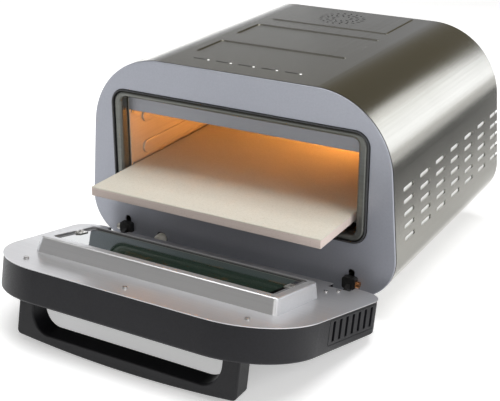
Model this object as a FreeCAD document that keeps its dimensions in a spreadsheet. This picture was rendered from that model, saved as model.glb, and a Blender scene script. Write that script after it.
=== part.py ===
import FreeCAD, Part
import math
import os
import re

import Sketcher

# A countertop pizza oven. Every piece is drawn in the oven's own layout: X to the right of somebody
# facing the door, Y from the front fascia (Y = 0) to the rear, Z up from the underside of the body.
# Door pieces are drawn with the door shut. The placements then lift the body onto its feet and swing
# the door open, which is the rest position.

V = FreeCAD.Vector
DOC = FreeCAD.newDocument("PizzaOven")
PARTS = []

SIZES = {
    # the whole oven
    "FasciaY": -62.9,       # where the front fascia stands once the oven is centred
    "FootTall": 27.0,
    "BodyHalf": 222.5,      # half the width at mid height
    "BodyTall": 264.8,
    "BodyDeep": 390.0,
    "SideSlope": 0.0885,    # the sides lean in by this much per mm of height
    "SideSecant": 1.0039,   # length of the leaning side per mm of height
    "TopRound": 105.0,
    "BottomRound": 58.0,
    "Sheet": 1.2,           # gauge of the outer steel
    "FasciaThick": 2.0,
    "SeamDeep": 2.0,
    "BaseHalf": 165.0,      # half of the opening under the shell
    # mouth and cavity
    "MouthHalf": 189.6,
    "MouthLow": 72.0,
    "MouthHigh": 220.4,
    "MouthRound": 21.0,
    "RingWide": 12.1,
    "RingSquash": 0.7,      # the ring is this much narrower above and below the mouth
    "CavityHalf": 172.0,
    "CavityLow": 60.0,
    "CavityHigh": 216.0,
    "CavityFront": 14.0,
    "CavityBack": 366.0,
    "Liner": 0.8,           # gauge of the cavity sheets
    "BaffleLow": 187.6,
    "BeadProud": 2.4,
    "Wadding": 14.0,        # thickness of the insulation
    # stone and its carrier
    "StoneHalf": 167.5,
    "StoneDeep": 335.0,
    "StoneThick": 12.7,
    "StoneTop": 109.7,
    "StoneFront": -82.6,
    "RodRound": 3.0,
    "RodHalf": 156.0,
    # side vents
    "VentLong": 33.0,
    "VentTall": 5.6,
    "VentPitchY": 54.3,
    "VentPitchZ": 16.2,
    "VentFirstY": 48.2,
    "VentFirstZ": 77.6,
    # heating elements
    "ElementRound": 3.25,
    "ElementHigh": 203.0,
    "ElementLow": 74.0,
    # door, drawn shut
    "DoorRest": 77.0,       # degrees open at rest
    "HingeY": -19.4,
    "HingeZ": 8.4,
    "DoorBack": -6.0,       # inner face of the door plate
    "DoorLow": 11.5,
    "DoorTall": 250.0,
    "DoorThick": 42.5,
    "DoorHalf": 229.9,
    "DoorSlope": 0.0935,
    "DoorSecant": 1.0044,
    "DoorTopRound": 97.6,
    "DoorLowRound": 30.8,
    "ShellWall": 2.5,
    "PlateThick": 1.0,
    "FrameHalf": 171.0,
    "FrameLow": 83.5,
    "FrameHigh": 193.5,
    "FrameProud": 19.0,
    "FrameDraft": 3.0,
    "WindowHalf": 158.0,
    "WindowLow": 91.5,
    "WindowHigh": 176.5,
    "GlassThick": 4.0,
    "PaneSeat": 6.8,        # rear face of the inner pane, up in the raised frame
    "ClipThick": 1.2,       # the clips that hold the inner pane
    "GrooveDeep": 0.6,      # the outline pressed round the casing's end vents
    "EndVentLow": 50.0,     # middle of the lowest vent in the casing's ends
    "EndVentPitch": 14.6,
    "EndVentTall": 5.6,
    "HandleHalf": 154.5,
    "HandleLow": 210.0,
    "HandleHigh": 235.5,
    "HandleReach": 93.5,
    "HandleBow": 7.0,
    "HandleBar": 9.0,
    "HandlePost": 22.5,
    "HandleLean": 13.05,
    "PinRound": 3.0,
    "PinFit": 0.05,
    "HingeX": 171.0,
    "HingeGap": 15.0,       # half the width of the notch round each hinge
    # small pieces
    "KnobX": 62.0,
    "KnobZ": 59.5,
    "KnobRound": 16.0,
    "KnobTall": 12.0,
    "PlungerX": -116.0,
    "PlungerZ": 14.0,
    "PlungerRound": 7.5,
    "LightY": 41.5,
    "LightPitch": 33.7,
    "FanX": -8.0,
    "FanY": 333.0,
    "FanZ": 238.0,
    "GlandX": -150.0,
    "GlandZ": 30.0,
    "CordRound": 3.7,
}

FEET = [(x, y) for x in (-130, 130) for y in (42, 345)]
BOSSES = [(-155, 216), (-2, 226), (153, 216)]     # of the door casing: X, and height above DoorLow


def fill_sheet():
    """Writes the driving sizes into the spreadsheet, one aliased cell each."""
    sheet = DOC.addObject("Spreadsheet::Sheet", "Sizes")
    for row, (name, value) in enumerate(SIZES.items(), start=1):
        sheet.set(f"A{row}", name)
        sheet.set(f"B{row}", str(value))
        sheet.setAlias(f"B{row}", name)
    DOC.recompute()
    return sheet


SHEET = fill_sheet()


def formula(text):
    """Turns the size names in a text into references to the sheet."""
    return re.sub(r"\b[A-Z][A-Za-z]+\b", lambda word: "Sizes." + word.group(), str(text))


def value(text):
    """The present value of a formula, in mm."""
    names = {name: SHEET.get(name) for name in SIZES}
    words = re.sub(r"\b[A-Z][A-Za-z]+\b", lambda word: repr(float(names[word.group()])), str(text))
    return SHEET.evalExpression(words)


def bind(item, **sizes):
    """Binds properties of an object to formulas."""
    for name, text in sizes.items():
        item.setExpression(name.replace("_", "."), formula(text))
    return item


def at(item, x=0, y=0, z=0):
    """Binds where an object stands."""
    return bind(item, Placement_Base_x=x, Placement_Base_y=y, Placement_Base_z=z)


TURNS = {"X": (V(0, 1, 0), 90), "Y": (V(1, 0, 0), -90), "Z": (V(0, 0, 1), 0)}


def box(x, y, z, name="block"):
    """A box from three (low, high) pairs of formulas."""
    item = DOC.addObject("Part::Box", name)
    for prop, (low, high) in zip(("Length", "Width", "Height"), (x, y, z)):
        item.setExpression(prop, formula(f"({high}) - ({low})"))
    return at(item, x[0], y[0], z[0])


def rod(axis, radius, start, end, a, b, name="rod"):
    """A cylinder along an axis, from start to end; a and b are its place on the other two axes."""
    item = DOC.addObject("Part::Cylinder", name)
    bind(item, Radius=radius, Height=f"({end}) - ({start})")
    place = {"X": (start, a, b), "Y": (a, start, b), "Z": (a, b, start)}[axis]
    item.Placement.Rotation = FreeCAD.Rotation(*TURNS[axis])
    return at(item, *place)


def dome(radius, x, y, z, name="dome"):
    """A ball at a place."""
    item = DOC.addObject("Part::Sphere", name)
    bind(item, Radius=radius)
    return at(item, x, y, z)


def wedge(y, low, high, name="wedge"):
    """A block along Y that narrows: low and high are its (x0, x1, z0, z1) at each end."""
    item = DOC.addObject("Part::Wedge", name)
    bind(item, Ymin=y[0], Ymax=y[1])
    bind(item, Xmin=low[0], Xmax=low[1], Zmin=low[2], Zmax=low[3])
    return bind(item, X2min=high[0], X2max=high[1], Z2min=high[2], Z2max=high[3])


def join(*items, name="joined"):
    """One solid, or one group of solids, from several."""
    if len(items) == 1:
        return items[0]
    item = DOC.addObject("Part::MultiFuse", name)
    item.Shapes = list(items)
    return item


def group(items, name="group"):
    """Separate solids kept together."""
    item = DOC.addObject("Part::Compound", name)
    item.Links = list(items)
    return item


def cut(base, *tools, name="cut"):
    """The base with the tools taken away."""
    item = DOC.addObject("Part::Cut", name)
    item.Base = base
    item.Tool = tools[0] if len(tools) == 1 else group(tools, name + "_tools")
    return item


def soften(base, radius, chosen, name="softened"):
    """Rounds the edges that the test chooses."""
    DOC.recompute()
    item = DOC.addObject("Part::Fillet", name)
    item.Base = base
    size = float(value(radius))
    edges = base.Shape.Edges
    item.Edges = [(n, size, size) for n, edge in enumerate(edges, start=1) if chosen(edge)]
    return item


def middle(edge):
    """The point half way along an edge."""
    return edge.valueAt((edge.FirstParameter + edge.LastParameter) / 2)


def runs_along(edge, axis):
    """Whether an edge is straight and parallel to an axis."""
    if edge.Curve.TypeId != "Part::GeomLine":
        return False
    way = edge.tangentAt(edge.FirstParameter)
    return abs(abs(getattr(way, axis.lower())) - 1) < 1e-6


def origin_plane(body, role):
    return next(plane for plane in body.Origin.OriginFeatures if plane.Role == role)


PLANES = {"Y": ("XZ_Plane", -1), "Z": ("XY_Plane", 1), "X": ("YZ_Plane", 1)}


def sketch_on(body, axis, start):
    """A sketch square to an axis, at a formula along it."""
    role, sign = PLANES[axis]
    sketch = body.newObject("Sketcher::SketchObject", "outline")
    sketch.AttachmentSupport = [(origin_plane(body, role), "")]
    sketch.MapMode = "FlatFace"
    sketch.setExpression("AttachmentOffset.Base.z", formula(f"{sign} * ({start})"))
    return sketch


def draw_outline(sketch, corners):
    """Draws a closed outline whose corners are pairs of formulas."""
    first = sketch.GeometryCount
    spots = [tuple(float(value(text)) for text in corner) for corner in corners]
    count = len(spots)
    for n in range(count):
        ends = [V(*spots[k % count], 0) for k in (n, n + 1)]
        sketch.addGeometry(Part.LineSegment(*ends), False)
    for n in range(count):
        link = Sketcher.Constraint("Coincident", first + n, 2, first + (n + 1) % count, 1)
        sketch.addConstraint(link)
    for n, corner in enumerate(corners):
        for kind, text, size in zip(("DistanceX", "DistanceY"), corner, spots[n]):
            rule = sketch.addConstraint(Sketcher.Constraint(kind, -1, 1, first + n, 1, size))
            sketch.setExpression(f"Constraints[{rule}]", formula(text))


def draw_slot(sketch, x, y, half, radius, upright=False):
    """Draws a round-ended slot about a point; half is the distance to each end's centre."""
    cx, cy, run, r = (float(value(text)) for text in (x, y, half, radius))
    way = V(0, 1, 0) if upright else V(1, 0, 0)
    side = V(-way.y, way.x, 0)
    centre = V(cx, cy, 0)
    lean = math.pi / 2 if upright else 0
    first = sketch.GeometryCount
    for sign in (1, -1):
        end = centre + way * run * sign
        turn = lean - math.pi / 2 + (0 if sign > 0 else math.pi)
        arc = Part.ArcOfCircle(Part.Circle(end, V(0, 0, 1), r), turn, turn + math.pi)
        sketch.addGeometry(arc, False)
    for sign in (1, -1):
        edge = [centre - way * run * sign + side * r * sign, centre + way * run * sign + side * r * sign]
        sketch.addGeometry(Part.LineSegment(*edge), False)
    right, left, top, low = range(first, first + 4)
    for pair in ((right, 2, top, 2), (top, 1, left, 1), (left, 2, low, 2), (low, 1, right, 1)):
        sketch.addConstraint(Sketcher.Constraint("Tangent", *pair))
    bound = [("DistanceX", right, 3, f"({x}) + ({'0' if upright else half})"),
             ("DistanceY", right, 3, f"({y}) + ({half if upright else '0'})"),
             ("DistanceX", left, 3, f"({x}) - ({'0' if upright else half})"),
             ("DistanceY", left, 3, f"({y}) - ({half if upright else '0'})")]
    for kind, piece, point, text in bound:
        rule = sketch.addConstraint(Sketcher.Constraint(kind, -1, 1, piece, point, float(value(text))))
        sketch.setExpression(f"Constraints[{rule}]", formula(text))
    rule = sketch.addConstraint(Sketcher.Constraint("Radius", right, r))
    sketch.setExpression(f"Constraints[{rule}]", formula(radius))
    sketch.addConstraint(Sketcher.Constraint("Equal", right, left))


def pad(body, axis, start, end, corners):
    """Adds an outline's prism to a body."""
    sketch = sketch_on(body, axis, start)
    draw_outline(sketch, corners)
    item = body.newObject("PartDesign::Pad", "pad")
    item.Profile = sketch
    item.Reversed = axis == "Y"
    bind(item, Length=f"({end}) - ({start})")
    return item


def round_edges(body, radius, chosen):
    """Fillets the edges of a body's last feature that the test chooses."""
    DOC.recompute()
    base = body.Tip
    names = [f"Edge{n}" for n, edge in enumerate(base.Shape.Edges, start=1) if chosen(edge)]
    item = body.newObject("PartDesign::Fillet", "fillet")
    item.Base = (base, names)
    return bind(item, Radius=radius)


def new_body(name="outline_body"):
    return DOC.addObject("PartDesign::Body", name)


def prism(axis, start, end, corners, rounds=(), name="prism"):
    """A body: one outline padded along an axis, its long edges rounded.

    rounds holds (radius, test) pairs, where the test reads the middle of a long edge.
    """
    body = new_body(name)
    pad(body, axis, start, end, corners)
    for radius, test in rounds:
        round_edges(body, radius, lambda edge, test=test: runs_along(edge, axis) and test(middle(edge)))
    return body


def rectangle(x, z):
    return [(x[0], z[0]), (x[1], z[0]), (x[1], z[1]), (x[0], z[1])]


def body_outline(inset):
    """The oven's cross-section, a trapezoid, drawn in by an inset."""
    low = f"BodyHalf + SideSlope * BodyTall / 2 - ({inset}) * (SideSecant + SideSlope)"
    high = f"BodyHalf - SideSlope * BodyTall / 2 - ({inset}) * (SideSecant - SideSlope)"
    base, top = f"{inset}", f"BodyTall - ({inset})"
    return [(f"-({low})", base), (low, base), (high, top), (f"-({high})", top)]


def body_prism(start, end, inset, name="body_prism"):
    """A length of the oven's cross-section, with its rounded corners."""
    half = SIZES["BodyTall"] / 2
    rounds = [(f"TopRound - ({inset})", lambda spot: spot.z > half),
              (f"BottomRound - ({inset})", lambda spot: spot.z < half)]
    return prism("Y", start, end, body_outline(inset), rounds, name)


def door_outline(inset):
    """The door's outline, a trapezoid, drawn in by an inset."""
    low = f"DoorHalf - ({inset}) * (DoorSecant + DoorSlope)"
    high = f"DoorHalf - DoorSlope * DoorTall - ({inset}) * (DoorSecant - DoorSlope)"
    base, top = f"DoorLow + ({inset})", f"DoorLow + DoorTall - ({inset})"
    return [(f"-({low})", base), (low, base), (high, top), (f"-({high})", top)]


def door_prism(start, end, inset, name="door_prism"):
    """A slab of the door's outline, with its rounded corners."""
    half = SIZES["DoorLow"] + SIZES["DoorTall"] / 2
    rounds = [(f"DoorTopRound - ({inset})", lambda spot: spot.z > half),
              (f"DoorLowRound - ({inset})", lambda spot: spot.z < half)]
    return prism("Y", start, end, door_outline(inset), rounds, name)


def panel(axis, start, end, x, y, radius, name="panel"):
    """A slab with a rectangular outline and rounded corners."""
    return prism(axis, start, end, rectangle(x, y), [(radius, lambda spot: True)], name)


def screw(axis, x, y, z, shank, head, length, out, name="screw"):
    """A domed screw: its head stands at the place given and points along out (1 or -1)."""
    spot = {"X": x, "Y": y, "Z": z}
    rest = [spot[key] for key in "XYZ" if key != axis]
    base = spot[axis]
    if out > 0:
        top = rod(axis, head, base, f"{base} + {head} * 0.6", *rest)
        stem = rod(axis, shank, f"{base} - {length}", base, *rest)
    else:
        top = rod(axis, head, f"{base} - {head} * 0.6", base, *rest)
        stem = rod(axis, shank, base, f"{base} + {length}", *rest)
    return join(top, stem, name=name)


def label(item, name):
    """Names a finished sub-part."""
    item.Label = name
    PARTS.append(item)
    return item


def own_frame(item):
    """A primitive or a group goes into a group of its own, which keeps its place inside."""
    return group([item]) if item.TypeId in ("Part::Box", "Part::Cylinder", "Part::Compound") else item


def fixed(item, name):
    """Finishes a sub-part of the standing oven."""
    item = own_frame(item)
    bind(item, Placement_Base_y="FasciaY", Placement_Base_z="FootTall")
    return label(item, name)


def on_door(item, name):
    """Finishes a sub-part of the door, swung open about the hinge axis."""
    item = own_frame(item)
    turn = ("sin(DoorRest)", "cos(DoorRest)")
    item.Placement.Rotation = FreeCAD.Rotation(V(1, 0, 0), SIZES["DoorRest"])
    bind(item, Placement_Rotation_Angle="DoorRest")
    bind(item, Placement_Base_y=f"FasciaY + HingeY - HingeY * {turn[1]} + HingeZ * {turn[0]}",
         Placement_Base_z=f"FootTall + HingeZ - HingeY * {turn[0]} - HingeZ * {turn[1]}")
    return label(item, name)


KIT = {}


def screw_row(name, axis, spots, sizes, out):
    """Puts a set of like screws in the kit. sizes holds the shank, the head and the length."""
    KIT[name] = group([screw(axis, *spot, *sizes, out) for spot in spots], name + "_set")


def fill_kit():
    """Makes every set of screws, which the pieces that they hold are then bored with."""
    lips = [(f"{side} * (CavityHalf - Liner)", "CavityFront + 6", z, side)
            for side in (-1, 1) for z in (108, 183)]
    KIT["cavity_frame_screws"] = group([screw("X", x, y, z, 1.5, 2.4, 5, -side) for x, y, z, side in lips],
                                       "frame_screws")
    screw_row("foot_screws", "Z", [(x, y, "2 * Sheet") for x, y in FEET], (2.0, 4, 18), 1)
    rear = [(x, 385.5, z) for x, z in ((-90, 255), (90, 255), (-212, 132), (212, 132))]
    screw_row("rear_screws", "Y", rear, (1.6, 3, 5), 1)
    plate = [(x, "DoorBack", f"DoorLow + {u}") for x, u in BOSSES]
    screw_row("door_plate_screws", "Y", plate, (1.6, 3.4, 10), 1)
    leaf = [(side * x, "DoorBack", f"DoorLow + {u}") for side in (-1, 1) for x, u in ((166, 44), (176, 30))]
    screw_row("hinge_leaf_screws", "Y", leaf, (1.6, 2.8, 3), 1)
    clip = [(f"{side} * (WindowHalf - 3.4)", "PaneSeat + GlassThick + ClipThick", z)
            for side in (-1, 1) for z in (122.5, 130.5)]
    screw_row("glass_clip_screws", "Y", clip, (1.2, 2.6, 4), 1)
    handle = [(x, "DoorBack - DoorThick + ShellWall", z) for x in (-143, 143) for z in (216, 229)]
    screw_row("handle_screws", "Y", handle, (2, 3.6, 14), 1)


def pressing(low, high, x, y, lean):
    """A shallow pressed panel with rounded corners, whose two sides slope in by lean going up."""
    slab = panel("Z", f"{low} - Sheet / 4", f"{high} + 0.2", (x[0] - 3, x[1] + 3), y, "6")
    sides = [(x[0], low), (x[1], low), (x[1] - lean, high), (x[0] + lean, high)]
    slope = prism("Y", y[0] - 1, y[1] + 1, sides, name="slope")
    both = DOC.addObject("Part::Common", "pressing")
    both.Base = slab
    both.Tool = slope
    return both


def make_shell():
    """The outer wrap: one sheet bent round the body, pierced at the sides and pressed on top."""
    start, end = "FasciaThick + SeamDeep", "BodyDeep"
    outer = body_prism(start, end, "0", "shell_outside")
    inner = body_prism("0", "BodyDeep + 5", "Sheet", "shell_inside")
    gap = box(("-BaseHalf", "BaseHalf"), ("0", "BodyDeep + 5"), ("-5", "5"))
    wrap = cut(outer, inner, gap, name="shell_wrap")
    sinks, trays = [], []
    for x0, x1, y0, y1 in ((-99, 88, 73, 141), (-101, 88, 182, 248)):
        sinks.append(pressing("BodyTall - Sheet", "BodyTall", (x0, x1), (y0, y1), -2))
        trays.append(panel("Z", "BodyTall - Sheet * 2", "BodyTall - Sheet / 2",
                           (x0 - 4, x1 + 4), (y0 - 4, y1 + 4), "8"))
    raised = pressing("BodyTall", "BodyTall + 1", (-100, 86), (283, 380), 2)
    tabs = [box((x - 6, x + 6), (382.6, 384), (250, "BodyTall - Sheet / 2")) for x in (-90, 90)]
    tabs += [box((low, high), (382.6, 384), (126, 138)) for low, high in ((-222, -206), (206, 222))]
    full = join(wrap, raised, *trays, *tabs, name="shell_pressed")
    holes = (side_vents(), top_vents(), light_holes("2.2"), KIT["rear_screws"])
    shell = cut(full, *sinks, *holes, name="outer_shell")
    fixed(shell, "outer_shell")


def side_vents():
    """Seven columns and five rows of round-ended slots, through both sides."""
    body = new_body("side_vent_cutter")
    body.AllowCompound = True
    sketch = sketch_on(body, "X", "-BodyHalf - 30")
    draw_slot(sketch, "VentFirstY", "VentFirstZ", "(VentLong - VentTall) / 2", "VentTall / 2")
    slot = body.newObject("PartDesign::Pad", "slot")
    slot.Profile = sketch
    bind(slot, Length="2 * BodyHalf + 60")
    DOC.recompute()
    rows = body.newObject("PartDesign::MultiTransform", "rows_and_columns")
    steps = []
    for role, count, pitch in (("Y_Axis", 7, "VentPitchY"), ("Z_Axis", 5, "VentPitchZ")):
        step = body.newObject("PartDesign::LinearPattern", "step")
        step.Direction = (origin_plane(body, role), [""])
        step.Occurrences = count
        bind(step, Length=f"{pitch} * {count - 1}")
        steps.append(step)
    rows.Originals = [slot]
    rows.Transformations = steps
    body.Tip = rows
    DOC.recompute()
    core = box(("-BodyHalf + 20", "BodyHalf - 20"), (0, "BodyDeep"), (60, 160))
    return cut(body, core, name="vent_slots")


def top_vents():
    """Three rings of small slots over the fan."""
    slots = []
    for radius, count, lean in ((14, 10, 30), (23, 16, -30), (32, 20, 30)):
        for n in range(count):
            turn = 360 * n / count
            slot = box((-2.6, 2.6), (-1.1, 1.1), ("BodyTall - 8", "BodyTall + 5"), "grille_slot")
            slot.Placement.Rotation = FreeCAD.Rotation(V(0, 0, 1), turn + lean)
            spot = slot.Placement.Rotation.multVec(V(-2.6, -1.1, 0))
            x = radius * math.cos(math.radians(turn)) + spot.x
            y = radius * math.sin(math.radians(turn)) + spot.y
            at(slot, f"FanX + ({x})", f"FanY + ({y})", "BodyTall - 8")
            slots.append(slot)
    return group(slots, "grille_slots")


def light_places():
    return [f"6 + {n} * LightPitch" for n in range(-2, 3)]


def light_holes(radius):
    holes = [rod("Z", radius, "BodyTall - 5", "BodyTall + 5", x, "LightY") for x in light_places()]
    return group(holes, "light_holes")


def mouth_slab(start, end, inset, name="mouth_slab"):
    """A slab with the mouth's rounded outline, drawn in by an inset."""
    x = (f"-MouthHalf + ({inset})", f"MouthHalf - ({inset})")
    z = (f"MouthLow + ({inset}) * RingSquash", f"MouthHigh - ({inset}) * RingSquash")
    return panel("Y", start, end, x, z, f"MouthRound - ({inset}) * 0.8", name)


def make_front():
    """The front fascia, the seam strip behind it and the ring round the mouth."""
    face = body_prism("0", "FasciaThick", "0", "fascia_face")
    face = soften(face, "1.2", lambda edge: abs(middle(edge).y) < 1e-3, "fascia_soft")
    spigot = body_prism("FasciaThick", "FasciaThick + 10", "Sheet + 0.3", "fascia_spigot")
    hollow = body_prism("FasciaThick", "FasciaThick + 15", "2 * Sheet + 0.3", "fascia_hollow")
    holes = [mouth_slab("-5", "20", "0")]
    for side in (-1, 1):
        x = f"{side} * HingeX"
        holes.append(panel("Y", "-5", "20", (f"{x} - 4.5", f"{x} + 4.5"), (13, 37), "4"))
    holes.append(rod("Y", "PlungerRound + 2", "-5", "20", "PlungerX", "PlungerZ"))
    rim = cut(spigot, hollow, name="fascia_rim")
    fixed(cut(join(face, rim), *holes, name="front_fascia"), "front_fascia")

    strip = body_prism("FasciaThick", "FasciaThick + SeamDeep", "0.7", "seam_outside")
    core = body_prism("0", "FasciaThick + SeamDeep + 5", "Sheet + 0.3", "seam_inside")
    fixed(cut(strip, core, name="seam_strip"), "seam_strip")

    bead = cut(mouth_slab("-2.4", "FasciaThick", "1.1"), mouth_slab("-5", "20", "3.3"), name="bead")
    bead = soften(bead, "0.6", lambda edge: middle(edge).y < -2.3, "bead_soft")
    fixed(bead, "mouth_seal")

    ring = cut(mouth_slab("-1", "CavityFront", "3.5"), mouth_slab("-5", "20", "3.5 + RingWide"),
               name="ring")
    front = -1.0
    ring = soften(ring, "4", lambda edge: abs(middle(edge).y - front) < 1e-3, "mouth_ring")
    fixed(ring, "mouth_ring")


def bead_slab(side, low, high, back):
    """A long pressed bead on a cavity wall, with round ends."""
    face = f"{side} * CavityHalf"
    body = new_body("bead")
    start = face if side < 0 else f"{face} - BeadProud"
    sketch = sketch_on(body, "X", start)
    radius = (high - low) / 2
    draw_slot(sketch, f"(43 + {back}) / 2", str((low + high) / 2),
              f"({back} - 43) / 2 - {radius}", str(radius))
    item = body.newObject("PartDesign::Pad", "pad")
    item.Profile = sketch
    bind(item, Length="BeadProud")
    DOC.recompute()
    edge = value(f"{side} * (CavityHalf - BeadProud)")
    round_edges(body, "1", lambda line: abs(middle(line).x - edge) < 1e-3)
    return body


def make_cavity():
    """The cavity: two side walls, roof, floor, back, and the frame behind the mouth ring."""
    depth = ("CavityFront", "CavityBack")
    for side, name in ((-1, "left"), (1, "right")):
        inner, outer = f"{side} * CavityHalf", f"{side} * (CavityHalf + Liner)"
        x = (outer, inner) if side < 0 else (inner, outer)
        sheet = box(x, depth, ("CavityLow - Liner", "CavityHigh + Liner"))
        beads = [bead_slab(side, 114.6, 132.5, 262), bead_slab(side, 160, 178, 262)]
        wall = cut(join(sheet, *beads), KIT["cavity_frame_screws"])
        if side > 0:
            wall = cut(wall, rod("X", 17, "CavityHalf - 5", "CavityHalf + 5", 312, 168))
        fixed(wall, f"cavity_{name}_wall")
    across = ("-CavityHalf", "CavityHalf")
    fixed(box(across, depth, ("CavityHigh", "CavityHigh + Liner")), "cavity_roof")
    fixed(box(across, depth, ("CavityLow - Liner", "CavityLow")), "cavity_floor")
    back = box(across, ("CavityBack - Liner", "CavityBack"), ("CavityLow", "CavityHigh"))
    fixed(cut(back, *feed_holes(), name="back_wall"), "cavity_back_wall")

    top = box(across, ("CavityFront", "CavityFront + Liner"), ("BaffleLow", "CavityHigh"))
    lips = []
    for side in (-1, 1):
        face, proud = f"{side} * CavityHalf", f"{side} * (CavityHalf - Liner)"
        x = (face, proud) if side < 0 else (proud, face)
        lips.append(box(x, ("CavityFront", "CavityFront + 11"), (84, "CavityHigh")))
    frame = cut(join(top, *lips), KIT["cavity_frame_screws"], name="mouth_frame")
    fixed(frame, "cavity_front_frame")
    fixed(KIT["cavity_frame_screws"], "cavity_frame_screws")


def terminal_places():
    """Where the element ends and the probes pass through the back: (x, z, radius)."""
    ends = [(x, "ElementHigh", "ElementRound") for x in (-150, 150)]
    ends += [(x, "ElementLow", "ElementRound") for x in (-150, 150)]
    return ends + [(-40, 182, 2), (40, 84, 2)]


def feed_holes():
    return [rod("Y", f"{radius} + 0.2", "CavityBack - 5", "CavityBack + 30", x, z)
            for x, z, radius in terminal_places()]


def bent_path(points, bend):
    """A flat route of straight runs joined by tangent arcs of one radius."""
    edges = []
    last = points[0]
    for before, corner, after in zip(points, points[1:], points[2:]):
        come, leave = (corner - before).normalize(), (after - corner).normalize()
        turn = come.getAngle(leave)
        reach = bend * math.tan(turn / 2)
        start, end = corner - come * reach, corner + leave * reach
        inward = (leave - come).normalize()
        centre = corner + inward * (bend / math.cos(turn / 2))
        mid = centre - inward * bend
        edges.append(Part.LineSegment(last, start).toShape())
        edges.append(Part.Arc(start, mid, end).toShape())
        last = end
    edges.append(Part.LineSegment(last, points[-1]).toShape())
    return Part.Wire(edges)


def make_element(name, level, reach):
    """A tubular heating element: one loop of hairpins, both ends out through the back."""
    height = float(value(level))
    back = SIZES["CavityBack"] + 16
    legs = [-150, -90, -30, 30, 90, 150]
    points = [V(legs[0], back, height)]
    for n, (x, beside) in enumerate(zip(legs, legs[1:])):
        turn_y = 320 if n % 2 else reach
        points += [V(x, turn_y, height), V(beside, turn_y, height)]
    points.append(V(legs[-1], back, height))
    route = DOC.addObject("Part::Feature", name + "_route")
    route.Shape = bent_path(points, 14.0)
    ring = DOC.addObject("Part::Circle", name + "_section")
    bind(ring, Radius="ElementRound")
    ring.Placement = FreeCAD.Placement(points[0], FreeCAD.Rotation(V(1, 0, 0), 90))
    tube = DOC.addObject("Part::Sweep", name)
    tube.Sections = [ring]
    tube.Spine = (route, [f"Edge{n}" for n in range(1, len(route.Shape.Edges) + 1)])
    tube.Solid = True
    return tube


def make_heat():
    """Heating elements with their clips, the reflector, the lamp and the probes."""
    fixed(make_element("upper_tube", "ElementHigh", 40), "upper_heating_element")
    fixed(make_element("lower_tube", "ElementLow", 40), "lower_heating_element")
    clips = []
    for level, ends in (("ElementHigh", ("ElementHigh - 6", "CavityHigh")),
                        ("ElementLow", ("CavityLow", "ElementLow + 6"))):
        for x in (-150, -30, 30, 150):
            strip = box((x - 6, x + 6), (150, 151.5), ends)
            hole = rod("Y", "ElementRound + 0.1", 140, 160, x, level)
            clips.append(cut(strip, hole, name="clip"))
    fixed(group(clips, "clips"), "element_clips")

    socket = cut(rod("X", 16.5, "CavityHalf - 1", "CavityHalf + 24", 312, 168),
                 rod("X", 13, "CavityHalf - 5", "CavityHalf + 20", 312, 168), name="socket")
    flange = cut(rod("X", 21, "CavityHalf - 1.5", "CavityHalf - 0.1", 312, 168),
                 rod("X", 16.5, "CavityHalf - 5", "CavityHalf + 5", 312, 168), name="flange")
    fixed(join(socket, flange, name="lamp_holder"), "lamp_holder")
    glass = join(rod("X", 12.6, "CavityHalf - 3", "CavityHalf + 18", 312, 168),
                 dome(12.6, "CavityHalf - 3", 312, 168), name="glass")
    keep = box(("CavityHalf - 9", "CavityHalf + 18"), (290, 330), (150, 190))
    bulb = DOC.addObject("Part::Common", "lamp_cover")
    bulb.Base = glass
    bulb.Tool = keep
    fixed(bulb, "lamp_glass")

    probes = [rod("Y", radius, "CavityBack - 34", "CavityBack + 16", x, z)
              for x, z, radius in terminal_places()[4:]]
    fixed(group(probes, "probes"), "temperature_probes")


def make_insulation():
    """The wadding round the cavity, and the bright plates behind the side vents."""
    grow = "Wadding + Liner + 0.3"
    outer = box((f"-CavityHalf - {grow}", f"CavityHalf + {grow}"), (26, "CavityBack + 12"),
                (f"CavityLow - {grow}", f"CavityHigh + {grow}"))
    inner = box(("-CavityHalf - Liner - 0.3", "CavityHalf + Liner + 0.3"), (10, "CavityBack + 0.3"),
                ("CavityLow - Liner - 0.3", "CavityHigh + Liner + 0.3"))
    lamp = rod("X", 17, "CavityHalf", "CavityHalf + 40", 312, 168)
    fixed(cut(outer, inner, lamp, *feed_holes(), name="wadding"), "insulation_sleeve")
    baffles = []
    for side in (-1, 1):
        plates = []
        for near, far, z in ((211, 212, (62, 150)), (196, 212, (150, 151))):
            x = (f"{side * far}", f"{side * near}") if side < 0 else (near, far)
            plates.append(box(x, (22, 377), z))
        baffles.append(join(*plates, name="baffle"))
    fixed(group(baffles, "two_baffles"), "air_baffles")


def make_rails():
    """The two rails that the stone carrier's side rods slide on."""
    top = "StoneTop - StoneThick - 0.3 - 2 * RodRound - 0.3"
    for side, name in ((-1, "left"), (1, "right")):
        pieces = []
        for near, far, z in (("CavityHalf - 1.2", "CavityHalf", (f"{top} - 10", f"{top} + 5")),
                             ("RodHalf - 6", "CavityHalf", (f"{top} - 1.5", top))):
            x = (f"-({far})", f"-({near})") if side < 0 else (near, far)
            pieces.append(box(x, (26, 360), z))
        fixed(join(*pieces, name="rail"), f"{name}_guide_rail")


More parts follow.
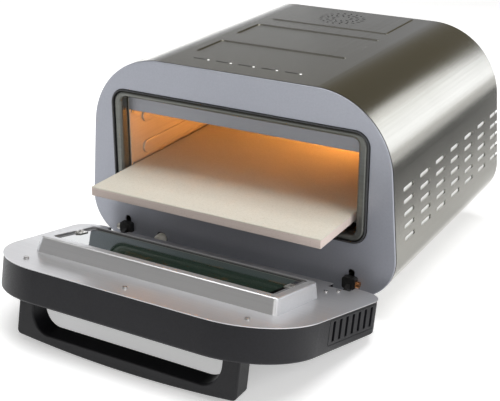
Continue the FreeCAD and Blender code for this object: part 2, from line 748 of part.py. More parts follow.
def make_stone():
    """The pizza stone and the wire carrier under it, both pulled out with the door."""
    level = "StoneTop - StoneThick - 0.3 - RodRound"
    front, back = "StoneFront + 14", "StoneFront + StoneDeep - 6"
    rods = [rod("Y", "RodRound", front, back, f"{side} * RodHalf", level) for side in (-1, 1)]
    rods += [rod("Y", "RodRound", front, back, x, level) for x in (-52, 52)]
    for n in range(6):
        y = f"{front} + 4 + {n} * (StoneDeep - 28) / 5"
        rods.append(rod("X", "0.8 * RodRound", "-RodHalf", "RodHalf", y, level))
    for side in (-1, 1):
        x = f"{side} * 120"
        rods.append(rod("Z", 2.5, level, "StoneTop - 3", x, "StoneFront + StoneDeep + 3"))
        rods.append(rod("Y", 2.5, "StoneFront + StoneDeep - 12", "StoneFront + StoneDeep + 3", x, level))
        rods.append(dome(2.5, x, "StoneFront + StoneDeep + 3", level))
    fixed(join(*rods, name="carrier"), "stone_carrier")
    stone = panel("Z", "StoneTop - StoneThick", "StoneTop", ("-StoneHalf", "StoneHalf"),
                  ("StoneFront", "StoneFront + StoneDeep"), "2", "stone")
    round_edges(stone, "0.8", lambda edge: not runs_along(edge, "Z"))
    fixed(stone, "pizza_stone")


def make_underside():
    """The base plate, feet, and what stands on the base."""
    base = box(("-BaseHalf - 4", "BaseHalf + 4"), (13, "BodyDeep - 12"), ("Sheet", "2 * Sheet"))
    slots = [panel("Z", "-5", "5", (f"{x} - 2", f"{x} + 2"), (150, 220), "1.9")
             for x in range(-70, 71, 20)]
    fixed(cut(base, *slots, KIT["foot_screws"], name="base"), "base_plate")
    feet, soles = [], []
    for x, y in FEET:
        cup = DOC.addObject("Part::Cone", "foot")
        bind(cup, Radius1=13, Radius2=16, Height="FootTall + Sheet - 3")
        at(cup, x, y, "3 - FootTall")
        feet.append(cut(cup, rod("Z", 2, "-FootTall", 10, x, y), name="foot_bored"))
        soles.append(rod("Z", 12, "-FootTall", "3 - FootTall", x, y))
    fixed(group(feet, "four_feet"), "feet")
    fixed(group(soles, "four_soles"), "foot_pads")
    fixed(KIT["foot_screws"], "foot_screws")

    board = box((-70, 50), (240, 320), (14, 15.6))
    fixed(board, "power_board")
    posts = [rod("Z", 3, "2 * Sheet", 14, x, y) for x in (-64, 44) for y in (246, 314)]
    fixed(group(posts, "four_posts"), "board_posts")
    lumps = [box((-60, -38), (250, 266), (15.6, 32)), box((-60, -38), (272, 288), (15.6, 32)),
             box((-20, 16), (256, 296), (15.6, 40)), rod("Z", 6, 15.6, 34, 34, 262)]
    fixed(group(lumps, "four_components"), "power_components")


def make_rear():
    """The rear panel, its screws and the cord gland."""
    face = body_prism("384", "385.5", "Sheet + 0.3", "rear_face")
    louvres = [panel("Y", "370", "395", (f"{x} - 3", f"{x} + 3"), (120, 190), "2.9")
               for x in range(-90, 91, 18)]
    hole = rod("Y", 7.1, "370", "395", "GlandX", "GlandZ")
    fixed(cut(face, *louvres, hole, KIT["rear_screws"], name="rear"), "rear_panel")
    fixed(KIT["rear_screws"], "rear_screws")
    flange = rod("Y", 9.5, "385.5", "397", "GlandX", "GlandZ")
    neck = rod("Y", 7, "374", "386", "GlandX", "GlandZ")
    bore = rod("Y", "CordRound", "370", "400", "GlandX", "GlandZ")
    gland = cut(join(flange, neck), bore, name="gland")
    fixed(gland, "cord_gland")


def make_indicators():
    """Five lights in the top, on their board."""
    fixed(box((-80, 92), (30, 53), (254, 255.6)), "indicator_board")
    tip = "BodyTall - 1.7"
    lights = [join(rod("Z", 2, 255.6, tip, x, "LightY"), dome(2, x, "LightY", tip)) for x in light_places()]
    fixed(group(lights, "five_lights"), "indicator_lights")


def make_fan():
    """The cooling fan under the round grille."""
    x, y = ("FanX - 35", "FanX + 35"), ("FanY - 35", "FanY + 35")
    outside = panel("Z", "FanZ", "FanZ + 15", x, y, "5", "fan_block")
    duct = rod("Z", 33, "FanZ + 3", "FanZ + 20", "FanX", "FanY")
    ports = [cut(rod("Z", 31, "FanZ - 1", "FanZ + 4", "FanX", "FanY"),
                 box(("FanX - 50", "FanX + 50"), ("FanY - 2.5", "FanY + 2.5"), ("FanZ - 1", "FanZ + 4")),
                 rod("Z", 14, "FanZ - 5", "FanZ + 5", "FanX", "FanY"), name="ports")]
    spindle = rod("Z", 1.5, "FanZ + 2", "FanZ + 13", "FanX", "FanY")
    frame = join(cut(outside, duct, *ports, name="fan_open"), spindle, name="fan_housing")
    fixed(frame, "fan_frame")
    spots = [(f"FanX + {dx}", f"FanY + {dy}") for dx in (-31, 31) for dy in (-31, 31)]
    posts = [rod("Z", 2, "FanZ + 15", "BodyTall - 2 * Sheet", a, b) for a, b in spots]
    fixed(group(posts, "fan_posts"), "fan_spacers")
    hub = rod("Z", 12, "FanZ + 3.5", "FanZ + 14", "FanX", "FanY")
    bore = rod("Z", "1.5 + PinFit", "FanZ", "FanZ + 20", "FanX", "FanY")
    blades = []
    for n in range(7):
        blade = box((0, 20.5), (-0.75, 0.75), (0, 9), "blade")
        spin = FreeCAD.Rotation(V(0, 0, 1), 360 * n / 7) * FreeCAD.Rotation(V(1, 0, 0), 35)
        blade.Placement.Rotation = spin
        root = spin.multVec(V(11, 0, -4.5))
        at(blade, f"FanX + ({root.x})", f"FanY + ({root.y})", f"FanZ + 8.7 + ({root.z})")
        blades.append(blade)
    fixed(cut(join(hub, *blades), bore, name="rotor"), "fan_rotor")


def make_door_switch():
    """The switch that the shut door presses, behind the fascia."""
    x, z = "PlungerX", "PlungerZ"
    case = box((f"{x} - 12", f"{x} + 12"), ("FasciaThick", 34), (f"{z} - 11", f"{z} + 15"))
    bore = rod("Y", "PlungerRound + PinFit", "0", "26", x, z)
    fixed(cut(case, bore, name="switch_case"), "door_switch")
    stem = rod("Y", "PlungerRound", "-10", "20", x, z)
    tip = soften(stem, "3.5", lambda edge: abs(middle(edge).y + 10) < 1e-3, "plunger")
    fixed(tip, "door_switch_plunger")


def make_hinges():
    """Fixed hinge brackets, their pins and rollers, and the leaves on the door."""
    rollers, pins, brackets, leaves = [], [], [], []
    for side in (-1, 1):
        def span(near, far, side=side):
            low, high = (near, far) if side > 0 else (far, near)
            return (f"{side} * HingeX + ({low} * {side})", f"{side} * HingeX + ({high} * {side})")
        eye = rod("X", 7, *span(-2.5, 2.5), "HingeY", "HingeZ")
        arm = prism("X", *span(-2.5, 2.5), [("HingeY - 2", "HingeZ + 6.7"), ("HingeY + 3", "HingeZ - 6.3"),
                                           ("1", "15"), ("40", "15"), ("40", "24"), ("1", "24")])
        tail = box(span(-2.5, 2.5), (24, 40), (15, 34))
        foot = box(span(-12, 2.5), (24, 40), ("2 * Sheet", 15))
        hole = rod("X", "PinRound", *span(-20, 20), "HingeY", "HingeZ")
        block = panel("Y", -8.5, -0.2, span(-9, 9), (13, 28.5), "3", "head")
        brackets.append(cut(join(eye, arm, tail, foot, block), hole, name="bracket"))

        shaft = rod("X", "PinRound", *span(-8.8, 9.2), "HingeY", "HingeZ")
        cap = rod("X", 4.6, *span(8, 9.6), "HingeY", "HingeZ")
        pins.append(join(shaft, cap, name="pin"))
        wheel = rod("X", 4.2, *span(9.4, 14), "-4.9", "20")
        axle = rod("X", 1.4, *span(9, 9.6), "-4.9", "20")
        rollers.append(join(wheel, axle, name="roller"))

        ears = []
        for near, far in ((-7, -3.2), (3.2, 7.2)):
            ears.append(rod("X", 6.8, *span(near, far), "HingeY", "HingeZ"))
            ears.append(box(span(near, far), ("HingeY - 6.8", "HingeY + 6.8"), ("HingeZ", 30)))
            ears.append(box(span(near, far), ("HingeY - 6.8", "DoorBack - PlateThick - 2"), (28, 60)))
        saddle = box(span(-12, 12), ("DoorBack - PlateThick - 2", "DoorBack - PlateThick"), (30, 64))
        bore = rod("X", "PinRound + PinFit", *span(-20, 20), "HingeY", "HingeZ")
        leaves.append(cut(join(*ears, saddle), bore, KIT["hinge_leaf_screws"], name="leaf"))
    fixed(group(brackets, "two_brackets"), "hinge_brackets")
    on_door(group(leaves, "two_leaves"), "hinge_leaves")
    fixed(group(pins, "two_pins"), "hinge_pins")
    fixed(group(rollers, "two_rollers"), "hinge_rollers")


def hinge_notches():
    """The gaps in the door's lower edge for the hinges."""
    return [box((f"{side} * HingeX - HingeGap", f"{side} * HingeX + HingeGap"), (-34, 0), (0, 29.5))
            for side in (-1, 1)]


def make_door_plate():
    """The door's inner face: a steel plate with the raised window frame pressed in it."""
    back, skin = "DoorBack - PlateThick", "PlateThick"
    sheet = door_prism(back, "DoorBack", "0", "plate_sheet")
    top = "DoorBack + FrameProud"
    wide = ("-FrameHalf", "FrameHalf", "FrameLow", "FrameHigh")
    slim = ("-FrameHalf + FrameDraft", "FrameHalf - FrameDraft", "FrameLow + FrameDraft",
            "FrameHigh - FrameDraft - 2")
    raised = wedge(("DoorBack - 0.5", top), wide, slim, "raised")
    raised = soften(raised, "7", lambda edge: edge.BoundBox.YLength > 10, "raised_corners")
    peak = value(top)
    raised = soften(raised, "3.2", lambda edge: abs(middle(edge).y - peak) < 1e-3, "raised_rim")
    inside = wedge((f"{back} - 3", f"{top} - {skin}"),
                   tuple(f"{text} {sign} {skin} * 1.2" for text, sign in zip(wide, "+-+-")),
                   tuple(f"{text} {sign} {skin} * 1.2" for text, sign in zip(slim, "+-+-")), "hollow")
    inside = soften(inside, "5.8", lambda edge: edge.BoundBox.YLength > 10, "hollow_corners")
    window = panel("Y", "-20", "40", ("-WindowHalf", "WindowHalf"), ("WindowLow", "WindowHigh"), "5")
    pressed = join(sheet, raised, name="plate_pressed")
    screws = (KIT["door_plate_screws"], KIT["hinge_leaf_screws"])
    plate = cut(pressed, inside, window, *hinge_notches(), *screws, name="plate")
    on_door(plate, "door_inner_plate")
    for name in ("door_plate_screws", "hinge_leaf_screws"):
        on_door(KIT[name], name)


def make_door_shell():
    """The black door casing: a shallow tub with a window, side vents and screw bosses."""
    front, back = "DoorBack - DoorThick", "DoorBack - PlateThick"
    outside = door_prism(front, back, "0.8", "casing_outside")
    edge_y = value(front)
    outside = soften(outside, "3", lambda edge: abs(middle(edge).y - edge_y) < 1e-3, "casing_soft")
    inside = door_prism(f"{front} + ShellWall", "0", "0.8 + ShellWall", "casing_inside")
    window = panel("Y", "-60", "-30", ("-WindowHalf + 8", "WindowHalf - 8"),
                   ("WindowLow + 4", "WindowHigh - 4"), "8")
    bosses = [rod("Y", 4.5, f"{front} + 1", back, x, f"DoorLow + {u}") for x, u in BOSSES]
    holes = [rod("Y", "PinRound + PinFit", "-60", "-40", f"{side} * KnobX", "KnobZ") for side in (-1, 1)]
    holes += [KIT["door_plate_screws"], KIT["handle_screws"]]
    vents = []
    for n in range(7):
        level = f"EndVentLow + {n} * EndVentPitch"
        slot = (f"{level} - EndVentTall / 2", f"{level} + EndVentTall / 2")
        vents.append(panel("Y", "DoorBack - 30", "DoorBack - 6", (-300, 300), slot, "0.5"))
    core = box((-190, 190), (-60, 0), (0, 300))
    side_slots = cut(group(vents, "vent_bars"), core, name="door_vents")
    skin = cut(door_prism(front, back, "0.8"), door_prism(f"{front} - 1", "0", "0.8 + GrooveDeep"),
               name="skin")
    rims = []
    for inset, reach in ((0, 300), (1, 305)):
        y = (f"DoorBack - 34 + {inset}", f"DoorBack - 3 - {inset}")
        z = (f"DoorLow + 28 + {inset}", f"DoorLow + 137 - {inset}")
        rims.append(panel("X", -reach, reach, y, z, f"2 - 0.6 * {inset}"))
    band = cut(*rims, name="band")
    groove = DOC.addObject("Part::Common", "grille_outline")
    groove.Base = skin
    groove.Tool = band
    tub = cut(outside, inside, window, side_slots, groove, name="tub")
    casing = cut(join(tub, *bosses), *holes, *hinge_notches(), name="casing")
    on_door(casing, "door_shell")


def make_window():
    """Two panes in a grey surround, held by clips at the ends."""
    low, high = "DoorBack - DoorThick + ShellWall + GlassThick", "DoorBack + FrameProud - PlateThick"
    x, z = ("-WindowHalf - 2.5", "WindowHalf + 2.5"), ("WindowLow - 2.5", "WindowHigh + 2.5")
    tube = panel("Y", low, high, x, z, "7")
    throat = panel("Y", f"{low} - 5", "PaneSeat", ("-WindowHalf + 8", "WindowHalf - 8"),
                   ("WindowLow + 4", "WindowHigh - 4"), "8")
    seat = panel("Y", "PaneSeat", "40", ("-WindowHalf", "WindowHalf"), ("WindowLow", "WindowHigh"), "5")
    relief = box(x, (f"{low} + 3", -4), z)
    walls = panel("Y", f"{low} + 3", -4, ("-WindowHalf + 5.5", "WindowHalf - 5.5"),
                  ("WindowLow + 1.5", "WindowHigh - 1.5"), "9")
    waist = cut(relief, walls, name="waist")
    bars = [box(span, ("PaneSeat - 1", "PaneSeat + GlassThick"), ("WindowLow", "WindowHigh"))
            for span in (("-WindowHalf", "-WindowHalf + 6.6"), ("WindowHalf - 6.6", "WindowHalf"))]
    body = join(cut(tube, throat, seat, waist, name="surround_tube"), *bars, name="surround")
    on_door(cut(body, KIT["glass_clip_screws"], name="surround_bored"), "window_surround")
    on_door(panel("Y", "PaneSeat", "PaneSeat + GlassThick", ("-WindowHalf + 7", "WindowHalf - 7"),
                  ("WindowLow + 0.5", "WindowHigh - 0.5"), "6", "pane"), "inner_window_glass")
    on_door(panel("Y", "DoorBack - DoorThick + ShellWall", low, ("-WindowHalf + 2", "WindowHalf - 2"),
                  ("WindowLow - 2", "WindowHigh + 2"), "6", "pane"), "outer_window_glass")
    clips = []
    for side in (-1, 1):
        near, far = f"{side} * (WindowHalf - 11)", f"{side} * (WindowHalf - 0.6)"
        span = (far, near) if side < 0 else (near, far)
        pane = "PaneSeat + GlassThick"
        clips.append(box(span, (pane, f"{pane} + ClipThick"), (118.5, 134.5)))
    clips = cut(group(clips, "two_clips"), KIT["glass_clip_screws"], name="clips")
    on_door(clips, "glass_clips")
    on_door(KIT["glass_clip_screws"], "glass_clip_screws")


def leaning(item):
    """Turns a handle tool, so that the open door's handle lies level."""
    item.Placement.Rotation = FreeCAD.Rotation(V(1, 0, 0), SIZES["HandleLean"])
    return bind(item, Placement_Rotation_Angle="HandleLean")


def lean(item, y, z):
    """Leans a handle tool about a line at (y, z)."""
    turn = ("sin(HandleLean)", "cos(HandleLean)")
    return bind(leaning(item), Placement_Base_y=f"({y}) - ({y}) * {turn[1]} + ({z}) * {turn[0]}",
                Placement_Base_z=f"({z}) - ({y}) * {turn[0]} - ({z}) * {turn[1]}")


def make_handle():
    """The bow handle across the door's outer face, and its screws."""
    face, peak = "DoorBack - DoorThick", "DoorBack - HandleReach - HandleBow"
    block = box(("-HandleHalf", "HandleHalf"), (f"{peak} - 5", face), ("HandleLow", "HandleHigh"))
    sweep = "(HandleHalf ^ 2 / HandleBow + HandleBow) / 2"
    bow = DOC.addObject("Part::Cylinder", "handle_bow")
    bind(bow, Radius=sweep, Height=600)
    bind(leaning(bow), Placement_Base_z=f"HandleHigh + ({sweep}) * sin(HandleLean) - 300 * cos(HandleLean)",
         Placement_Base_y=f"{peak} + ({sweep}) * cos(HandleLean) + 300 * sin(HandleLean)")
    bar = DOC.addObject("Part::Common", "handle_block")
    bar.Base = block
    bar.Tool = bow
    outer, root = value("HandleHalf"), value(face)
    bar = soften(bar, "6", lambda edge: abs(abs(middle(edge).x) - outer) < 1e-3
                 and edge.BoundBox.ZLength > 20 and middle(edge).y < root - 20, "handle_ends")
    inner = f"{peak} + HandleBow + HandleBar"
    gap = panel("Z", "HandleLow - 30", "HandleHigh + 30",
                ("-HandleHalf + HandlePost", "HandleHalf - HandlePost"), (inner, f"{face} + 60"), "26")
    lean(gap, inner, "HandleHigh")
    handle = cut(bar, gap, name="handle_cut")
    levels = [value("HandleLow"), value("HandleHigh")]

    def on_rim(edge):
        ends = edge.BoundBox
        return any(abs(ends.ZMin - z) + abs(ends.ZMax - z) < 1e-3 for z in levels)

    handle = soften(handle, "2.5", lambda edge: on_rim(edge) and middle(edge).y < root - 1, "handle")
    on_door(cut(handle, KIT["handle_screws"], name="handle_bored"), "door_handle")
    on_door(KIT["handle_screws"], "handle_screws")


def make_controls():
    """Two rotary controls on the door's outer face, on a board inside it."""
    face = "DoorBack - DoorThick"
    board_y = f"{face} + ShellWall + 9"
    on_door(box((-90, 90), (board_y, f"{board_y} + 1.6"), (38, 78)), "door_control_board")
    cases = []
    for side, name in ((-1, "temperature"), (1, "timer")):
        x = f"{side} * KnobX"
        case = box((f"{x} - 8", f"{x} + 8"), (f"{face} + ShellWall + 0.5", board_y),
                   ("KnobZ - 8", "KnobZ + 8"))
        bore = rod("Y", "PinRound + PinFit", "-60", f"{board_y} - 1.5", x, "KnobZ")
        cases.append(cut(case, bore, name="case"))
        disc = DOC.addObject("Part::Cone", "knob_disc")
        bind(disc, Radius1="KnobRound", Radius2="KnobRound - 1.5", Height="KnobTall - 0.4")
        disc.Placement.Rotation = FreeCAD.Rotation(V(1, 0, 0), 90)
        at(disc, x, f"{face} - 0.4", "KnobZ")
        mark = box((f"{x} - 0.8", f"{x} + 0.8"), (f"{face} - KnobTall - 1", f"{face} - KnobTall + 0.8"),
                   ("KnobZ + 4", "KnobZ + 20"))
        stem = rod("Y", "PinRound", f"{face} - 1", f"{board_y} - 2", x, "KnobZ")
        on_door(join(cut(disc, mark), stem, name="knob"), f"{name}_knob")
    on_door(group(cases, "two_cases"), "rotary_controls")


def main():
    fill_kit()
    make_shell()
    make_front()
    make_cavity()
    make_heat()
    make_insulation()
    make_rails()
    make_stone()
    make_underside()
    make_rear()
    make_indicators()
    make_fan()
    make_door_switch()
    make_hinges()
    make_door_plate()
    make_door_shell()
    make_window()
    make_handle()
    make_controls()
    DOC.recompute()
    check_and_write()


def check_and_write():
    """Checks every object, then writes one STEP file for each sub-part."""
    for item in DOC.Objects:
        if "Invalid" in item.State or "Error" in item.State:
            raise RuntimeError(f"{item.Label} failed to build")
    os.makedirs("parts", exist_ok=True)
    whole = FreeCAD.BoundBox()
    for item in PARTS:
        if item.Shape.isNull() or not item.Shape.isValid() or not item.Shape.Solids:
            raise RuntimeError(f"{item.Label} has no valid shape")
        item.Shape.exportStep(os.path.join("parts", item.Label + ".step"))
        whole.add(item.Shape.BoundBox)
    print(f"{len(PARTS)} sub-parts, {whole.XLength:.1f} x {whole.YLength:.1f} x {whole.ZLength:.1f} mm")
    print(f"centre {whole.Center.x:.2f}, {whole.Center.y:.2f}; lowest {whole.ZMin:.2f}")


main()
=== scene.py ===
# %% [markdown]
# A countertop pizza oven. Its frame, its sizes and its moving pieces come from the CAD model.
# This script gives it its looks: the light, the finishes, and the pieces whose shape is better
# made as a mesh. The first step loads the model, which stays where it is.

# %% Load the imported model
import math

import bpy
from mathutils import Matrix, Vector


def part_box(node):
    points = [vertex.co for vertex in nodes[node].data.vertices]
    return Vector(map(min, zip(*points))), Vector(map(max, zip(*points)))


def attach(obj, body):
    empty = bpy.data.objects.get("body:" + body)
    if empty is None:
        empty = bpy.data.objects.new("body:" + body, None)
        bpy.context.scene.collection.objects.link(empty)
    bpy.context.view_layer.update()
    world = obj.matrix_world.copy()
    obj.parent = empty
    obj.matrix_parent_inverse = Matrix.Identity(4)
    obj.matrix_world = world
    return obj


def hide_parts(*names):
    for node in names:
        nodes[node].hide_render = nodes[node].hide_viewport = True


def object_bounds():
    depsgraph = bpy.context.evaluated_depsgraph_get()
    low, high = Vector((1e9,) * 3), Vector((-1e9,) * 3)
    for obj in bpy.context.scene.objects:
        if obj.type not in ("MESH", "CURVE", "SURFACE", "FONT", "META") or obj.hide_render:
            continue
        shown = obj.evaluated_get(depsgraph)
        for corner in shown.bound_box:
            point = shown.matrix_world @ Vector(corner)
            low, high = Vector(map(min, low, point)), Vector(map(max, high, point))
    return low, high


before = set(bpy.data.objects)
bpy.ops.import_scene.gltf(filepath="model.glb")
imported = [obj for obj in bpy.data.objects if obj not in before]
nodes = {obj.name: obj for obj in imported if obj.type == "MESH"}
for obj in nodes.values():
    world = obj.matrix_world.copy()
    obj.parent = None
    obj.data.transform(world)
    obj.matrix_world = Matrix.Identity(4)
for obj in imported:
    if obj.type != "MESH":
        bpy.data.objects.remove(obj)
cad_low, cad_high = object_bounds()
scene = bpy.context.scene
print(len(nodes), "pieces, overall", [round(size, 4) for size in cad_high - cad_low])

# %% [markdown]
# The camera comes first, because every choice of light depends on it. The oven is seen from its
# right, a little above, with a long lens, as a catalogue shows a product. A long lens keeps the
# sides of the body nearly parallel. The place is worked out from a point to look at, two angles
# and a distance, which are easier to read than a place and a turn.

# %% Camera
CAMERA_AZIMUTH = math.radians(29.85)
CAMERA_ELEVATION = math.radians(22.67)
CAMERA_DISTANCE = 1.5
CAMERA_AIM = Vector((-0.0156, 0.0071, 0.0930))
LENS_MM = 78.83

toward_camera = Vector((
    math.sin(CAMERA_AZIMUTH) * math.cos(CAMERA_ELEVATION),
    -math.cos(CAMERA_AZIMUTH) * math.cos(CAMERA_ELEVATION),
    math.sin(CAMERA_ELEVATION),
))
camera = bpy.data.objects.new("camera", bpy.data.cameras.new("camera"))
camera.data.lens = LENS_MM
camera.data.sensor_width = 36.0
camera.location = CAMERA_AIM + toward_camera * CAMERA_DISTANCE
camera.rotation_euler = (math.pi / 2 - CAMERA_ELEVATION, 0.0, CAMERA_AZIMUTH)
scene.collection.objects.link(camera)
scene.camera = camera
print("camera at", [round(place, 3) for place in camera.location])

# %% [markdown]
# Metal shows what is round it more than its own colour, so the room is the most important part
# of its look. The world here is an even grey that grows darker and a little warmer with height:
# the flat top of the oven, seen at a low angle, then looks dark olive. Everything brighter is a
# card, set where one face of the oven reflects it, as in a studio.

# %% World
WORLD_LEVELS = [
    (0.0, (0.44, 0.45, 0.49)), (0.22, (0.38, 0.39, 0.42)), (0.36, (0.125, 0.108, 0.066)),
    (0.62, (0.100, 0.088, 0.060)), (0.85, (0.24, 0.24, 0.23)), (1.0, (0.55, 0.55, 0.56))]

world = bpy.data.worlds.new("studio")
scene.world = world
world.use_nodes = True
links = world.node_tree.links
direction = world.node_tree.nodes.new("ShaderNodeTexCoord")
height = world.node_tree.nodes.new("ShaderNodeSeparateXYZ")
levels = world.node_tree.nodes.new("ShaderNodeValToRGB")
levels.color_ramp.interpolation = "EASE"
# New stops all start halfway, and get their own places in the loop after this one.
while len(levels.color_ramp.elements) < len(WORLD_LEVELS):
    levels.color_ramp.elements.new(0.5)
for element, (place, colour) in zip(levels.color_ramp.elements, WORLD_LEVELS):
    element.position = place
    element.color = (*colour, 1.0)
links.new(direction.outputs["Generated"], height.inputs["Vector"])
links.new(height.outputs["Z"], levels.inputs["Fac"])
links.new(levels.outputs["Color"], world.node_tree.nodes["Background"].inputs["Color"])
scene.view_settings.view_transform = "Standard"
print("world levels", WORLD_LEVELS)

# %% [markdown]
# Soft lamps are the bright cards. One is overhead: it lights the floor, and draws the shadow of
# the mouth's upper edge across the stone. One stands behind at the right, where the rounded
# shoulder mirrors it as a wide white band. One at the right side lights the white scoops in the
# slots. A low one at the left behind is for the flat inner face of the open door, and two more,
# at the left and in front at the right, lift the front. None of them shows to the camera.
# All but the first have a place by two angles and a distance, as the camera has.

# %% Lamps
MIDDLE = (cad_low + cad_high) / 2
WHITE = (1.0, 1.0, 1.0)
CEILING_PLACE = Vector((0.0, 0.0, 2.3))
LAMPS = [
    # name, azimuth, elevation, distance, (width, height), watts, colour
    ("right_back_lamp", 36, 15, 2.2, (1.2, 1.1), 6.4, (0.95, 0.97, 1.0)),
    ("right_side_lamp", 105, 28, 2.2, (1.0, 0.80), 12.0, WHITE),
    ("left_back_lamp", -38, 4, 2.4, (1.1, 0.40), 2.2, WHITE),
    ("left_front_lamp", -105, 16, 2.2, (0.9, 0.8), 5.0, (0.93, 0.96, 1.0)),
    ("right_front_lamp", 155, 24, 2.4, (1.2, 0.8), 5.5, WHITE),
]


def spot_round(azimuth, elevation, distance):
    """A place round the oven. Azimuth 0 is behind it, and grows to its right."""
    turn, rise = math.radians(azimuth), math.radians(elevation)
    return MIDDLE + distance * Vector((
        math.sin(turn) * math.cos(rise), math.cos(turn) * math.cos(rise), math.sin(rise)))


def area_lamp(name, place, size, watts, colour):
    """A rectangle of light that faces the middle of the oven."""
    lamp = bpy.data.objects.new(name, bpy.data.lights.new(name, "AREA"))
    lamp.data.shape = "RECTANGLE"
    lamp.data.size, lamp.data.size_y = size
    lamp.data.energy = watts
    lamp.data.color = colour
    lamp.location = place
    lamp.rotation_mode = "QUATERNION"
    lamp.rotation_quaternion = (place - MIDDLE).to_track_quat("Z", "Y")
    lamp.visible_camera = False
    scene.collection.objects.link(lamp)
    print(name, "at", [round(part, 2) for part in place], "with", watts, "W")


area_lamp("ceiling_lamp", CEILING_PLACE, (2.6, 1.3), 44.0, WHITE)
for lamp_name, azimuth, elevation, distance, lamp_size, watts, colour in LAMPS:
    area_lamp(lamp_name, spot_round(azimuth, elevation, distance), lamp_size, watts, colour)

# %% [markdown]
# The flat side of the body mirrors the floor beside it. Three cards lie there, which only
# reflections see. The foot of the side mirrors the near one, which is pale. Its top, just under
# the white band, mirrors the far one, which is black. A grey one softens the step between them.

# %% Cards on the floor
CARD_LEVEL = 0.001


def reflection_card(name, low, high, grey):
    """A card flat on the floor, between two corners, that only reflections see."""
    middle = ((low[0] + high[0]) / 2, (low[1] + high[1]) / 2, CARD_LEVEL)
    bpy.ops.object.select_all(action="DESELECT")
    bpy.ops.mesh.primitive_plane_add(size=1.0, location=middle)
    card = bpy.context.object
    card.name = name
    card.scale = (high[0] - low[0], high[1] - low[1], 1.0)
    card.visible_camera = False
    card.visible_shadow = False
    card.visible_diffuse = False
    paint = bpy.data.materials.new(name)
    paint.use_nodes = True
    shader = paint.node_tree.nodes["Principled BSDF"]
    shader.inputs["Base Color"].default_value = (grey, grey, grey, 1.0)
    shader.inputs["Roughness"].default_value = 1.0
    card.data.materials.append(paint)
    print(name, "from", low, "to", high)


reflection_card("pale_card", (0.23, -0.15), (0.39, 0.95), 0.68)
reflection_card("grey_card", (0.39, 0.10), (0.45, 1.10), 0.26)
reflection_card("black_card", (0.45, 0.20), (0.92, 1.80), 0.03)

# %% [markdown]
# The oven's own lamp looks in through a small glass in the right wall of the cavity. A warm disk
# just inside the glass gives its light. It faces across the cavity, turned a little up and a
# little to the back, so that the roof and the wall across from it glow most.

# %% The oven's own lamp
LAMP_GAP = 0.006
LAMP_UP = math.radians(97.0)
LAMP_BACK = math.radians(-8.0)
glass_low, glass_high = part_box("lamp_glass")
glow = bpy.data.objects.new("oven_lamp", bpy.data.lights.new("oven_lamp", "AREA"))
glow.data.shape = "DISK"
glow.data.size = 0.04
glow.data.energy = 1.2
glow.data.color = (1.0, 0.40, 0.08)
glow.location = (glass_low.x - LAMP_GAP, (glass_low.y + glass_high.y) / 2,
                 (glass_low.z + glass_high.z) / 2)
glow.rotation_euler = (0.0, LAMP_UP, LAMP_BACK)
glow.visible_camera = False
scene.collection.objects.link(glow)
print("oven lamp at", [round(place, 3) for place in glow.location])

# %% [markdown]
# The floor is one pale sheet, so large that its edge is past every view. It glows a little, like a
# light table, which keeps the shadow under the open door from going black.

# %% Floor
FLOOR_WIDE = 30.0
FLOOR_GLOW = 0.40
bpy.ops.object.select_all(action="DESELECT")
bpy.ops.mesh.primitive_plane_add(size=FLOOR_WIDE, location=(0.0, 0.0, cad_low.z))
floor = bpy.context.object
floor.name = "floor"
floor_paint = bpy.data.materials.new("pale_floor")
floor_paint.use_nodes = True
floor_shader = floor_paint.node_tree.nodes["Principled BSDF"]
floor_shader.inputs["Base Color"].default_value = (0.90, 0.90, 0.905, 1.0)
floor_shader.inputs["Roughness"].default_value = 0.75
floor_shader.inputs["Emission Color"].default_value = (1.0, 1.0, 1.0, 1.0)
floor_shader.inputs["Emission Strength"].default_value = FLOOR_GLOW
floor.data.materials.append(floor_paint)
print("floor at", round(cad_low.z, 4))

# %% [markdown]
# A finish has three scales: a broad clouding from handling and heat, the mark of how the metal or
# plastic was made, and a fine grain that breaks up the highlight. Each is used by many pieces, so
# each is a node group. A group puts out a mask that changes over the surface; the colours and the
# amounts are chosen in the material. A few helpers come first: each adds one kind of node, sets
# it and joins it up, so that a group reads as a short list of steps.

# %% Helpers for node groups and materials
VECTOR, NUMBER = "NodeSocketVector", "NodeSocketFloat"


def new_group(name, inputs, outputs):
    """An empty node group with its named sockets, and its two end nodes."""
    group = bpy.data.node_groups.new(name, "ShaderNodeTree")
    for label, kind, default in inputs:
        socket = group.interface.new_socket(label, in_out="INPUT", socket_type=kind)
        socket.default_value = default
    for label, kind in outputs:
        group.interface.new_socket(label, in_out="OUTPUT", socket_type=kind)
    print("node group", name)
    return group, group.nodes.new("NodeGroupInput"), group.nodes.new("NodeGroupOutput")


def put(tree, kind, **settings):
    """Adds a node and sets its properties."""
    node = tree.nodes.new(kind)
    for name, value in settings.items():
        setattr(node, name, value)
    return node


def feed(tree, source, target):
    """Joins one node's output to another's input."""
    tree.links.new(source, target)


def noise(tree, vector, detail=3.0, roughness=0.55, scale=1.0):
    """Cloudy values that wander round one half."""
    node = put(tree, "ShaderNodeTexNoise")
    node.inputs["Scale"].default_value = scale
    node.inputs["Detail"].default_value = detail
    node.inputs["Roughness"].default_value = roughness
    feed(tree, vector, node.inputs["Vector"])
    return node.outputs["Fac"]


def stretch(tree, value, low, high, to_low=0.0, to_high=1.0):
    """Maps one range of values onto another, clamped at its ends."""
    node = put(tree, "ShaderNodeMapRange")
    ends = {"From Min": low, "From Max": high, "To Min": to_low, "To Max": to_high}
    for label, amount in ends.items():
        node.inputs[label].default_value = amount
    feed(tree, value, node.inputs["Value"])
    return node.outputs["Result"]


